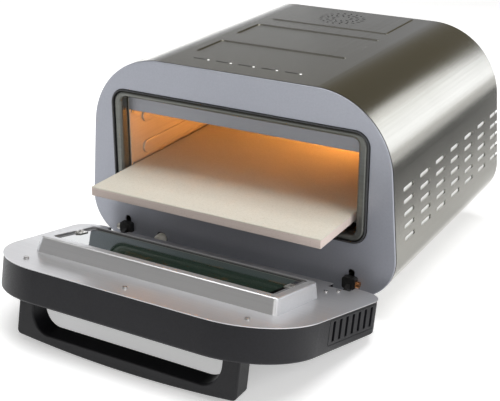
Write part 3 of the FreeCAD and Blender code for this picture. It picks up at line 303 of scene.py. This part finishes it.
def maths(tree, operation, first, second):
    """One sum on two values, each a number or another node's socket."""
    node = put(tree, "ShaderNodeMath", operation=operation)
    for socket, value in zip(node.inputs, (first, second)):
        if isinstance(value, (int, float)):
            socket.default_value = value
        else:
            feed(tree, value, socket)
    return node.outputs["Value"]


def scaled(tree, vector, amount):
    """Coordinates multiplied by three fixed numbers, or by another node's socket."""
    node = put(tree, "ShaderNodeVectorMath", operation="MULTIPLY")
    feed(tree, vector, node.inputs[0])
    if isinstance(amount, tuple):
        node.inputs[1].default_value = amount
    else:
        feed(tree, amount, node.inputs[1])
    return node.outputs["Vector"]


# %% [markdown]
# Brushing leaves long thin streaks. Noise gives them when its coordinates are stretched: packed
# close in two directions and drawn out along the third. Two sizes of noise are multiplied, so
# that the streaks come in bundles, as the grit of a belt leaves them.

# %% Brushed grain
brushed_grain, entry, leave = new_group(
    "brushed_grain", [("Place", VECTOR, (0, 0, 0)), ("Lines", VECTOR, (900, 12, 900))],
    [("Streaks", NUMBER), ("Height", NUMBER)])
fine_place = scaled(brushed_grain, entry.outputs["Place"], entry.outputs["Lines"])
coarse_place = scaled(brushed_grain, fine_place, (0.22, 0.35, 0.22))
fine_lines = noise(brushed_grain, fine_place, detail=4.0, roughness=0.7)
coarse_lines = noise(brushed_grain, coarse_place, detail=2.0)
both_lines = maths(brushed_grain, "MULTIPLY", fine_lines, coarse_lines)
feed(brushed_grain, stretch(brushed_grain, both_lines, 0.12, 0.42), leave.inputs["Streaks"])
feed(brushed_grain, fine_lines, leave.inputs["Height"])
print("takes", [socket.name for socket in entry.outputs if socket.name])

# %% [markdown]
# A plastic tool is spark-eroded and a sprayed paint dries in beads, which both leave fine
# pebbles. Smooth Voronoi cells have that shape, and give the height. Specks of lighter and darker
# colour come from a noise that is coarser.

# %% Moulded grain
moulded_grain, entry, leave = new_group(
    "moulded_grain", [("Place", VECTOR, (0, 0, 0)), ("Grains", NUMBER, 1800.0)],
    [("Specks", NUMBER), ("Height", NUMBER)])
pebbles = put(moulded_grain, "ShaderNodeTexVoronoi", feature="SMOOTH_F1")
feed(moulded_grain, entry.outputs["Place"], pebbles.inputs["Vector"])
feed(moulded_grain, entry.outputs["Grains"], pebbles.inputs["Scale"])
speck_noise = noise(moulded_grain, entry.outputs["Place"], detail=3.0, scale=400.0)
feed(moulded_grain, pebbles.outputs["Distance"], leave.inputs["Height"])
feed(moulded_grain, stretch(moulded_grain, speck_noise, 0.35, 0.65), leave.inputs["Specks"])
print("takes", [socket.name for socket in entry.outputs if socket.name])

# %% [markdown]
# Hands, steam and cloths leave broad soft patches on every finish. One noise, a little distorted
# so that the patches aren't round, gives them, and its size is set in each material.

# %% Clouding
clouding, entry, leave = new_group(
    "clouding", [("Place", VECTOR, (0, 0, 0)), ("Size", NUMBER, 9.0)], [("Clouds", NUMBER)])
cloud_noise = put(clouding, "ShaderNodeTexNoise")
cloud_noise.inputs["Detail"].default_value = 5.0
cloud_noise.inputs["Roughness"].default_value = 0.62
cloud_noise.inputs["Distortion"].default_value = 0.8
feed(clouding, entry.outputs["Place"], cloud_noise.inputs["Vector"])
feed(clouding, entry.outputs["Size"], cloud_noise.inputs["Scale"])
feed(clouding, stretch(clouding, cloud_noise.outputs["Fac"], 0.30, 0.70), leave.inputs["Clouds"])
print("takes", [socket.name for socket in entry.outputs if socket.name])

# %% [markdown]
# Every finish is then one call. It gives two colours between which the surface wanders, the range
# of its roughness, the lines or grains of its making and how deep they are. What is the same all
# over, such as how metallic it is, is set on the shader itself.

# %% One finish
GRAIN_SHARE, CLOUD_SHARE = 0.6, 0.4
BUMP_HEIGHT = 0.0004


def finish(name, light, dark, gloss, lines=None, grains=1800.0, depth=0.1, clouds=9.0,
           **shader_settings):
    """A material whose surface wanders between two colours and two roughnesses."""
    material = bpy.data.materials.new(name)
    material.use_nodes = True
    tree = material.node_tree
    shader = tree.nodes["Principled BSDF"]
    for label, value in shader_settings.items():
        shader.inputs[label.replace("_", " ")].default_value = value
    place = put(tree, "ShaderNodeTexCoord").outputs["Object"]
    clouds_node = put(tree, "ShaderNodeGroup", node_tree=clouding)
    clouds_node.inputs["Size"].default_value = clouds
    feed(tree, place, clouds_node.inputs["Place"])
    if lines:
        grain_node = put(tree, "ShaderNodeGroup", node_tree=brushed_grain)
        grain_node.inputs["Lines"].default_value = lines
        grain = grain_node.outputs["Streaks"]
    else:
        grain_node = put(tree, "ShaderNodeGroup", node_tree=moulded_grain)
        grain_node.inputs["Grains"].default_value = grains
        grain = grain_node.outputs["Specks"]
    feed(tree, place, grain_node.inputs["Place"])
    both = maths(tree, "ADD", maths(tree, "MULTIPLY", grain, GRAIN_SHARE),
                 maths(tree, "MULTIPLY", clouds_node.outputs["Clouds"], CLOUD_SHARE))
    colours = put(tree, "ShaderNodeMix", data_type="RGBA")
    colours.inputs["A"].default_value = (*dark, 1.0)
    colours.inputs["B"].default_value = (*light, 1.0)
    feed(tree, both, colours.inputs["Factor"])
    feed(tree, colours.outputs["Result"], shader.inputs["Base Color"])
    feed(tree, stretch(tree, both, 0.0, 1.0, gloss[1], gloss[0]), shader.inputs["Roughness"])
    bump = put(tree, "ShaderNodeBump")
    bump.inputs["Strength"].default_value = depth
    bump.inputs["Distance"].default_value = BUMP_HEIGHT
    feed(tree, grain_node.outputs["Height"], bump.inputs["Height"])
    feed(tree, bump.outputs["Normal"], shader.inputs["Normal"])
    return material


def dress(material, *names):
    """Puts one material on pieces of the CAD model, and leaves their shapes alone."""
    for name in names:
        slots = nodes[name].data.materials
        slots.clear()
        slots.append(material)
    print(material.name, "on", ", ".join(names))


# Close lines in two directions, long in the third: along the depth on the body, and along the
# width on the front.
ALONG_DEPTH = (1500.0, 5.0, 1500.0)
ALONG_WIDTH = (5.0, 1500.0, 1500.0)

# %% [markdown]
# A finish may also change from one stretch of a piece to the next. A mask does that: it is 0
# where the finish keeps its own colour and 1 where it takes another. The masks here are worked
# out from where the surface lies.

# %% Helpers for a second colour on one piece
def split_place(tree):
    """The three coordinates of the surface."""
    parts = put(tree, "ShaderNodeSeparateXYZ")
    feed(tree, put(tree, "ShaderNodeTexCoord").outputs["Object"], parts.inputs["Vector"])
    return parts.outputs


def second_colour(material, mask, colour, blend="MIX"):
    """Mixes a colour over a material's own, where its mask is 1."""
    tree = material.node_tree
    target = tree.nodes["Principled BSDF"].inputs["Base Color"]
    own_colour = target.links[0].from_socket
    mix = put(tree, "ShaderNodeMix", data_type="RGBA", blend_type=blend)
    mix.inputs["B"].default_value = (*colour, 1.0)
    feed(tree, mask, mix.inputs["Factor"])
    feed(tree, own_colour, mix.inputs["A"])
    feed(tree, mix.outputs["Result"], target)
    return material


# %% [markdown]
# The slots of the fan grille are cut by laser. Their walls are painted near black: painted shade,
# the shade that falls inside a narrow slot. Seen at a low angle those walls are all that shows of
# a slot, so they draw the grille. The mask is a thin layer just under the top face, inside the
# circle of the grille.

# %% Painted shade on the slot walls of the fan grille
GRILLE_RADIUS = 0.0375
TOP_SKIN = 0.00006
WALL_DEEP = 0.0028


def painted_slot_shade(material):
    """Paints shade on the shell just under its top face, inside the circle of the grille."""
    tree = material.node_tree
    fan_middle = sum(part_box("fan_rotor"), Vector()) / 2
    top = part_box("outer_shell")[1].z
    place = split_place(tree)
    away = [maths(tree, "SUBTRACT", place["X"], fan_middle.x),
            maths(tree, "SUBTRACT", place["Y"], fan_middle.y)]
    squares = [maths(tree, "MULTIPLY", distance, distance) for distance in away]
    inside = maths(tree, "LESS_THAN", maths(tree, "ADD", *squares), GRILLE_RADIUS ** 2)
    below = maths(tree, "LESS_THAN", place["Z"], top - TOP_SKIN)
    above = maths(tree, "GREATER_THAN", place["Z"], top - WALL_DEEP)
    walls = maths(tree, "MULTIPLY", maths(tree, "MULTIPLY", below, above), inside)
    # The near-black colour is painted shade: the shade inside the grille's slots.
    return second_colour(material, walls, (0.012, 0.011, 0.010))


# %% [markdown]
# The outside of the body: the wrap is satin stainless steel, brushed along its depth. The fascia
# is painted a bluish metallic grey. The seam between them, the foot pads and the feet are black
# rubber, and the base and the rear panel, which nobody looks at, are plain galvanised sheet.

# %% Body finishes
shell_steel = finish("satin_shell_steel", (0.535, 0.525, 0.485), (0.47, 0.46, 0.42), (0.19, 0.25),
                     lines=ALONG_DEPTH, depth=0.06, clouds=4.0, Metallic=1.0)
dress(painted_slot_shade(shell_steel), "outer_shell")
dress(finish("fascia_paint", (0.385, 0.40, 0.450), (0.350, 0.365, 0.415), (0.30, 0.36),
             grains=2600.0, depth=0.04, clouds=5.0, Metallic=0.5),
      "front_fascia")
dress(finish("black_rubber", (0.030, 0.030, 0.031), (0.012, 0.012, 0.013), (0.45, 0.65),
             grains=2200.0, depth=0.2),
      "seam_strip", "foot_pads", "feet")
dress(finish("seal_black", (0.050, 0.052, 0.055), (0.030, 0.031, 0.033), (0.34, 0.46),
             grains=2200.0, depth=0.1),
      "mouth_seal")
dress(finish("ring_steel", (0.185, 0.190, 0.175), (0.130, 0.134, 0.125), (0.28, 0.38),
             lines=ALONG_WIDTH, depth=0.05, Metallic=0.8),
      "mouth_ring")
dress(finish("galvanised_steel", (0.42, 0.43, 0.43), (0.30, 0.31, 0.32), (0.36, 0.52),
             grains=160.0, depth=0.03, clouds=60.0, Metallic=0.9),
      "base_plate", "rear_panel")

# %% [markdown]
# The frame just inside the mouth is one pressing. Its upper strip is painted grey like the
# fascia, and its two side lips are left as bare bright steel, which the oven's lamp turns orange.

# %% Frame of the cavity
STRIP_TALL = 0.0284
STRIP_BLEND = 0.0005


def lip_and_strip():
    """Bare steel with a grey strip along its top."""
    material = finish("cavity_frame_steel", (0.64, 0.57, 0.48), (0.54, 0.47, 0.39), (0.32, 0.42),
                      lines=ALONG_WIDTH, depth=0.05, clouds=14.0, Metallic=0.4)
    tree = material.node_tree
    strip_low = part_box("cavity_front_frame")[1].z - STRIP_TALL
    strip = stretch(tree, split_place(tree)["Z"], strip_low - STRIP_BLEND, strip_low)
    return second_colour(material, strip, (0.28, 0.285, 0.31))


dress(lip_and_strip(), "cavity_front_frame")

# %% [markdown]
# Heat has toned the steel inside the cavity to a warm straw colour, and browned the sheath of the
# heating elements. The lamp's glass glows a little, and the wool round the cavity is a loose
# yellowish felt, so it has the deepest grain of all.

# %% Finishes of the cavity
dress(finish("cavity_steel", (0.66, 0.60, 0.53), (0.54, 0.48, 0.41), (0.34, 0.46),
             lines=ALONG_DEPTH, depth=0.06, clouds=14.0, Metallic=0.45),
      "cavity_left_wall", "cavity_right_wall", "cavity_roof", "cavity_floor", "cavity_back_wall")
dress(finish("element_sheath", (0.20, 0.17, 0.15), (0.07, 0.055, 0.05), (0.40, 0.62),
             grains=1500.0, depth=0.25, clouds=40.0, Metallic=0.8),
      "upper_heating_element", "lower_heating_element")
dress(finish("lamp_ceramic", (0.80, 0.78, 0.73), (0.70, 0.67, 0.61), (0.30, 0.45),
             grains=1200.0, depth=0.1),
      "lamp_holder")
dress(finish("lamp_glass", (1.0, 0.93, 0.82), (0.96, 0.86, 0.70), (0.04, 0.10),
             grains=900.0, depth=0.05, Transmission_Weight=0.6,
             Emission_Color=(1.0, 0.55, 0.20, 1.0), Emission_Strength=1.6),
      "lamp_glass")
dress(finish("mineral_wool", (0.62, 0.56, 0.40), (0.38, 0.33, 0.20), (0.85, 0.98),
             lines=(500.0, 120.0, 500.0), depth=0.9, clouds=30.0),
      "insulation_sleeve")

# %% [markdown]
# What is hidden in the base and behind the fascia gets the finish it has in any appliance: plated
# brackets and screws, black mouldings, green boards. The five indicator lights are white and
# always lit.

# %% Finishes of the fittings and the electrics
dress(finish("screw_steel", (0.62, 0.61, 0.60), (0.45, 0.44, 0.43), (0.22, 0.38),
             grains=3000.0, depth=0.1, Metallic=1.0),
      "cavity_frame_screws", "foot_screws", "rear_screws", "door_plate_screws",
      "hinge_leaf_screws", "glass_clip_screws", "handle_screws", "fan_spacers", "board_posts")
dress(finish("plated_steel", (0.58, 0.57, 0.55), (0.42, 0.41, 0.39), (0.28, 0.42),
             grains=2400.0, depth=0.1, Metallic=1.0),
      "element_clips", "left_guide_rail", "right_guide_rail", "stone_carrier",
      "temperature_probes", "air_baffles")
dress(finish("moulded_black_plastic", (0.028, 0.028, 0.030), (0.014, 0.014, 0.016), (0.34, 0.50),
             grains=2400.0, depth=0.25),
      "cord_gland", "fan_frame", "fan_rotor", "door_switch", "rotary_controls")
dress(finish("circuit_board", (0.03, 0.20, 0.09), (0.015, 0.11, 0.05), (0.25, 0.45),
             grains=500.0, depth=0.2, clouds=70.0),
      "power_board", "indicator_board", "door_control_board")
dress(finish("board_components", (0.10, 0.11, 0.16), (0.02, 0.02, 0.03), (0.30, 0.55),
             grains=900.0, depth=0.15, clouds=50.0),
      "power_components")
dress(finish("indicator_white", (0.92, 0.92, 0.90), (0.84, 0.84, 0.82), (0.20, 0.30),
             grains=2000.0, depth=0.05, Emission_Color=(1.0, 1.0, 1.0, 1.0),
             Emission_Strength=0.6),
      "indicator_lights")

# %% [markdown]
# The door is three materials: a bright steel inner plate, a grey surround between the panes, and
# a casing and a handle moulded in nearly black plastic. Its hinges are steel with black brackets.
# One roller is copper coloured and the other is plain steel, so a mask on the width splits them.

# %% Door finishes
dress(finish("hinge_black", (0.040, 0.040, 0.040), (0.015, 0.015, 0.015), (0.34, 0.50),
             grains=1800.0, depth=0.2, Metallic=0.5),
      "hinge_brackets")
dress(finish("leaf_steel", (0.78, 0.77, 0.74), (0.62, 0.61, 0.58), (0.20, 0.34),
             lines=ALONG_WIDTH, depth=0.1, Metallic=0.8),
      "hinge_leaves", "hinge_pins", "glass_clips")
copper = finish("copper_roller", (0.70, 0.33, 0.14), (0.46, 0.20, 0.08), (0.22, 0.38),
                grains=2400.0, depth=0.1, Metallic=1.0)
left_half = maths(copper.node_tree, "LESS_THAN", split_place(copper.node_tree)["X"], 0.0)
dress(second_colour(copper, left_half, (0.66, 0.64, 0.60)), "hinge_rollers")
dress(finish("plunger_white", (0.88, 0.86, 0.78), (0.80, 0.78, 0.70), (0.28, 0.42),
             grains=2400.0, depth=0.1),
      "door_switch_plunger")
dress(finish("door_plate_steel", (0.68, 0.68, 0.695), (0.60, 0.60, 0.615), (0.30, 0.38),
             lines=ALONG_WIDTH, depth=0.03, clouds=6.0, Metallic=0.75),
      "door_inner_plate")
dress(finish("surround_grey", (0.16, 0.16, 0.165), (0.11, 0.11, 0.115), (0.40, 0.52),
             grains=2000.0, depth=0.1),
      "window_surround")
dress(finish("door_casing_black", (0.010, 0.010, 0.013), (0.0065, 0.0065, 0.0085), (0.36, 0.46),
             grains=2400.0, depth=0.12, Specular_IOR_Level=0.3),
      "door_shell")
dress(finish("handle_black", (0.011, 0.011, 0.013), (0.007, 0.007, 0.0085), (0.30, 0.40),
             grains=2600.0, depth=0.10, Specular_IOR_Level=0.3),
      "door_handle")
dress(finish("knob_black", (0.024, 0.024, 0.026), (0.012, 0.012, 0.014), (0.28, 0.40),
             grains=2600.0, depth=0.15),
      "temperature_knob", "timer_knob")

# %% [markdown]
# The window pane is dark tempered glass with a printed black border. The border is a rounded
# frame: it is found from the distance to the pane's edge, in coordinates that a Mapping node turns
# to lie flat with the open door.

# %% Window glass
DOOR_OPEN = math.radians(77.0)
BORDER_ROUND = 0.012
BORDER_START, BORDER_FULL = 0.0068, 0.0074


def window_glass():
    """Dark glass that turns black past a rounded rectangle."""
    material = finish("window_glass", (0.024, 0.040, 0.030), (0.018, 0.030, 0.023), (0.03, 0.06),
                      grains=600.0, depth=0.0, clouds=12.0, Coat_Weight=0.6)
    tree = material.node_tree
    low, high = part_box("inner_window_glass")
    half_sizes = {"X": (high.x - low.x) / 2, "Y": (high.y - low.y) / 2 / math.sin(DOOR_OPEN)}
    centred = put(tree, "ShaderNodeVectorMath", operation="SUBTRACT")
    centred.inputs[1].default_value = (low + high) / 2
    feed(tree, put(tree, "ShaderNodeTexCoord").outputs["Object"], centred.inputs[0])
    turned = put(tree, "ShaderNodeMapping", vector_type="POINT")
    turned.inputs["Rotation"].default_value = (math.pi / 2 - DOOR_OPEN, 0.0, 0.0)
    feed(tree, centred.outputs["Vector"], turned.inputs["Vector"])
    place = put(tree, "ShaderNodeSeparateXYZ")
    feed(tree, turned.outputs["Vector"], place.inputs["Vector"])
    squares = []
    for label, half in half_sizes.items():
        away = maths(tree, "ABSOLUTE", place.outputs[label], 0.0)
        past = maths(tree, "MAXIMUM", maths(tree, "SUBTRACT", away, half - BORDER_ROUND), 0.0)
        squares.append(maths(tree, "POWER", past, 2.0))
    corner = maths(tree, "SQRT", maths(tree, "ADD", *squares), 0.0)
    border = stretch(tree, corner, BORDER_START, BORDER_FULL)
    return second_colour(material, border, (0.002, 0.002, 0.002))


dress(window_glass(), "inner_window_glass", "outer_window_glass")

# %% [markdown]
# A baking stone is cast from cordierite. Its top is a warm cream, sanded flat, with fine pores, and
# its sawn edges are pinker. The colour of the edge is found from how far the surface is below the
# top face, because the stone lies level. The pores are a fine noise, cut off so high that only
# its peaks show, and multiplied over the colour.

# %% Stone finish
EDGE_FULL, EDGE_START = 0.0022, 0.0008
PORE_START, PORE_FULL = 0.62, 0.72


def stone_finish():
    """Cream on top, pinker on its edges, with fine darker pores all over."""
    material = finish("baking_stone", (0.63, 0.595, 0.515), (0.57, 0.535, 0.455), (0.74, 0.88),
                      grains=1500.0, depth=0.30, clouds=10.0)
    tree = material.node_tree
    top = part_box("pizza_stone")[1].z
    edge = stretch(tree, split_place(tree)["Z"], top - EDGE_FULL, top - EDGE_START, 1.0, 0.0)
    second_colour(material, edge, (0.72, 0.61, 0.56))
    place = put(tree, "ShaderNodeTexCoord").outputs["Object"]
    pores = stretch(tree, noise(tree, place, detail=2.0, scale=700.0), PORE_START, PORE_FULL)
    return second_colour(material, pores, (0.80, 0.77, 0.72), blend="MULTIPLY")


baking_stone = stone_finish()
print(baking_stone.name, "has", len(baking_stone.node_tree.nodes), "nodes")

# %% [markdown]
# Some pieces are easier to make here than in the CAD model. Each is modelled as by hand: a block
# is added at its size and place, some of its edges or faces are chosen by where they are, and
# operators shape them. These helpers do the choosing, the copying in rows and the finishing.

# %% Helpers for new pieces
def start_block(name, low, high):
    """A block between two corners, in object mode, with nothing on it selected."""
    bpy.ops.object.select_all(action="DESELECT")
    bpy.ops.mesh.primitive_cube_add(size=1.0, location=(Vector(low) + Vector(high)) / 2)
    piece = bpy.context.object
    piece.name = name
    piece.scale = Vector(high) - Vector(low)
    bpy.ops.object.transform_apply(location=True, rotation=True, scale=True)
    bpy.ops.object.mode_set(mode="EDIT")
    bpy.ops.mesh.select_all(action="DESELECT")
    bpy.ops.object.mode_set(mode="OBJECT")
    return piece


def choose(piece, kind, test):
    """Selects the vertices, edges or faces that pass a test, and goes to edit mode."""
    bpy.ops.object.select_all(action="DESELECT")
    bpy.context.view_layer.objects.active = piece
    piece.select_set(True)
    bpy.ops.object.mode_set(mode="EDIT")
    bpy.ops.mesh.select_mode(type=kind)
    bpy.ops.mesh.select_all(action="DESELECT")
    bpy.ops.object.mode_set(mode="OBJECT")
    mesh = piece.data
    items = {"VERT": mesh.vertices, "EDGE": mesh.edges, "FACE": mesh.polygons}[kind]
    for item in items:
        item.select = test(mesh, item)
    bpy.ops.object.mode_set(mode="EDIT")


def repeat(piece, count, step):
    """Copies a piece in a row, each copy one step from the last."""
    row = piece.modifiers.new("row", "ARRAY")
    row.use_relative_offset = False
    row.use_constant_offset = True
    row.constant_offset_displace = step
    row.count = count
    bpy.ops.object.modifier_apply(modifier="row")


def finish_piece(piece, material, body, slot, *replaced, angle=35.0):
    """Back to object mode, normals outwards, smooth shading, finish and body. The slot is not used.
    """
    bpy.ops.object.mode_set(mode="EDIT")
    bpy.ops.mesh.select_all(action="SELECT")
    bpy.ops.mesh.normals_make_consistent(inside=False)
    bpy.ops.object.mode_set(mode="OBJECT")
    bpy.ops.object.shade_smooth_by_angle(angle=math.radians(angle))
    piece.data.materials.clear()
    piece.data.materials.append(material)
    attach(piece, body)
    if replaced:
        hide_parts(*replaced)
    print(piece.name, "rides on", body, "with", len(piece.data.polygons), "faces")


# %% [markdown]
# A CAD slab has perfect edges. The real stone is a little worn: its arrises are rounded over and
# not quite straight. So the stone is made again as a mesh, from a block at the CAD size. Its edges
# are bevelled, it is subdivided, and the points round its sides are nudged by about a tenth of a
# millimetre. Its top and bottom stay flat.

# %% Pizza stone
STONE_ROUND = 0.0014
STONE_WEAR = 0.00012
FLAT_SKIN = 0.0002
stone_low, stone_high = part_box("pizza_stone")
stone = start_block("worn_pizza_stone", stone_low, stone_high)
choose(stone, "EDGE", lambda mesh, edge: True)
bpy.ops.mesh.bevel(offset=STONE_ROUND, segments=3)
bpy.ops.mesh.select_all(action="SELECT")
bpy.ops.mesh.subdivide(number_cuts=3)
bpy.ops.object.mode_set(mode="OBJECT")
choose(stone, "VERT",
       lambda mesh, corner: stone_low.z + FLAT_SKIN < corner.co.z < stone_high.z - FLAT_SKIN)
bpy.ops.transform.vertex_random(offset=STONE_WEAR, seed=7)
finish_piece(stone, baking_stone, "pizza_stone", "stone", "pizza_stone")

# %% [markdown]
# Behind each side slot the sheet is pressed in to a shallow scoop, open at its rear end, so that
# air passes and fingers don't. The scoops show as white bars through the slots. Their near-white,
# barely metallic colour is a painted reflection that stands in for the bright sheen of the steel,
# and the lamps light them too. One scoop is made as a block hollowed by inset and extrude, its rear
# upper corner is cut away, and array and mirror modifiers repeat it under every slot. The side
# leans in towards the top, so the scoop is tilted with it, and each row lies a little further in.

# %% Side scoops
# The first slot's middle is given in the body's own frame, whose origin lies here in the model.
BODY_ORIGIN_Y, BODY_ORIGIN_Z = -0.0629, 0.027
SLOT_FIRST = Vector((0.0, BODY_ORIGIN_Y + 0.0482, BODY_ORIGIN_Z + 0.0776))
SLOT_COLUMNS, SLOT_ROWS = 7, 5
SLOT_PITCH_Y, SLOT_PITCH_Z = 0.0543, 0.0162
SLOT_LONG, SLOT_TALL = 0.033, 0.0056
SLOTS_FRONT, SLOTS_BACK = -0.03, 0.33
RIM_REACH = 0.0045
SHEET = 0.0012
SCOOP_GAP = 0.0003
SCOOP_DEEP = 0.0024
SCOOP_LAP = 0.002
SCOOP_WALL = 0.0012
SCOOP_HOLLOW = 0.0007
SCOOP_OPEN = 0.0035
OPEN_SLOPE = 0.55


def side_at(level):
    """How far out the shell's side is at a height, from the vertices of the slots' rims."""
    return max(corner.co.x for corner in nodes["outer_shell"].data.vertices
               if abs(corner.co.z - level) < RIM_REACH and SLOTS_FRONT < corner.co.y < SLOTS_BACK)


rows_tall = (SLOT_ROWS - 1) * SLOT_PITCH_Z
side_low, side_high = side_at(SLOT_FIRST.z), side_at(SLOT_FIRST.z + rows_tall)
SIDE_STEP = (side_high - side_low) / (SLOT_ROWS - 1)
SIDE_TILT = math.atan2(side_low - side_high, rows_tall)
outer = side_low - SHEET - SCOOP_GAP
scoop_low = (outer - SCOOP_DEEP, SLOT_FIRST.y - SLOT_LONG / 2 - SCOOP_LAP,
             SLOT_FIRST.z - SLOT_TALL / 2 - SCOOP_LAP)
scoop_high = (outer, SLOT_FIRST.y + SLOT_LONG / 2 + SCOOP_LAP,
              SLOT_FIRST.z + SLOT_TALL / 2 + SCOOP_LAP)
scoops = start_block("side_scoops", scoop_low, scoop_high)
choose(scoops, "FACE", lambda mesh, face: face.normal.x > 0.9)
bpy.ops.mesh.inset(thickness=SCOOP_WALL)
bpy.ops.mesh.extrude_region_move(TRANSFORM_OT_translate={"value": (-SCOOP_HOLLOW, 0.0, 0.0)})
bpy.ops.mesh.select_all(action="SELECT")
cut_at = (outer, SLOT_FIRST.y + SLOT_LONG / 2 - SCOOP_OPEN, SLOT_FIRST.z + SLOT_TALL / 2)
bpy.ops.mesh.bisect(plane_co=cut_at, plane_no=(0.0, 1.0, OPEN_SLOPE), use_fill=True,
                    clear_outer=True)
bpy.ops.mesh.select_all(action="SELECT")
bpy.ops.transform.rotate(value=SIDE_TILT, orient_axis="Y",
                         center_override=(outer, SLOT_FIRST.y, SLOT_FIRST.z))
bpy.ops.object.mode_set(mode="OBJECT")
repeat(scoops, SLOT_COLUMNS, (0.0, SLOT_PITCH_Y, 0.0))
repeat(scoops, SLOT_ROWS, (SIDE_STEP, 0.0, SLOT_PITCH_Z))
scoops.modifiers.new("other_side", "MIRROR")
bpy.ops.object.modifier_apply(modifier="other_side")
# The near-white colour is a painted reflection: it stands in for the sheen of the steel scoops.
scoop_sheen_paint = finish("scoop_painted_reflection", (0.98, 0.98, 0.97), (0.93, 0.93, 0.92), (0.34, 0.46),
                     grains=2200.0, depth=0.05, Metallic=0.05)
finish_piece(scoops, scoop_sheen_paint, "oven_body", "shell_steel", angle=25.0)

# %% [markdown]
# Left of each indicator light is a short printed mark. The real ones are symbols: plain bars
# stand for them here. Each is a thin film of ink with rounded ends: a flat block whose upright
# edges are bevelled, repeated at the pitch of the lights.

# %% Printed marks
LIGHT_COUNT = 5
LIGHT_PITCH = 0.0337
LIGHT_RADIUS = 0.0022
MARK_LONG, MARK_TALL, MARK_FILM = 0.0185, 0.0024, 0.00012
MARK_ROUND = MARK_TALL * 0.45
MARK_AWAY = 0.0135
# The flat of the shell's top. Its pressed panels stand a millimetre higher.
SHELL_TOP = 0.2918


def upright(mesh, edge):
    """True for an edge that runs through the film, from its lower face to its upper."""
    start, end = (mesh.vertices[place].co.z for place in edge.vertices)
    return abs(start - end) > MARK_FILM / 2


light_low, light_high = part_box("indicator_lights")
first_light = Vector((light_low.x + LIGHT_RADIUS, (light_low.y + light_high.y) / 2, SHELL_TOP))
mark_middle = first_light + Vector((-MARK_AWAY, 0.0, 0.0))
mark_half = Vector((MARK_LONG / 2, MARK_TALL / 2, 0.0))
marks = start_block("printed_marks", mark_middle - mark_half,
                    mark_middle + mark_half + Vector((0.0, 0.0, MARK_FILM)))
choose(marks, "EDGE", upright)
bpy.ops.mesh.bevel(offset=MARK_ROUND, segments=4)
bpy.ops.object.mode_set(mode="OBJECT")
repeat(marks, LIGHT_COUNT, (LIGHT_PITCH, 0.0, 0.0))
mark_ink = finish("mark_ink", (0.020, 0.020, 0.018), (0.012, 0.012, 0.011), (0.40, 0.55),
                  grains=2600.0, depth=0.1)
finish_piece(marks, mark_ink, "oven_body", "black_plastic")
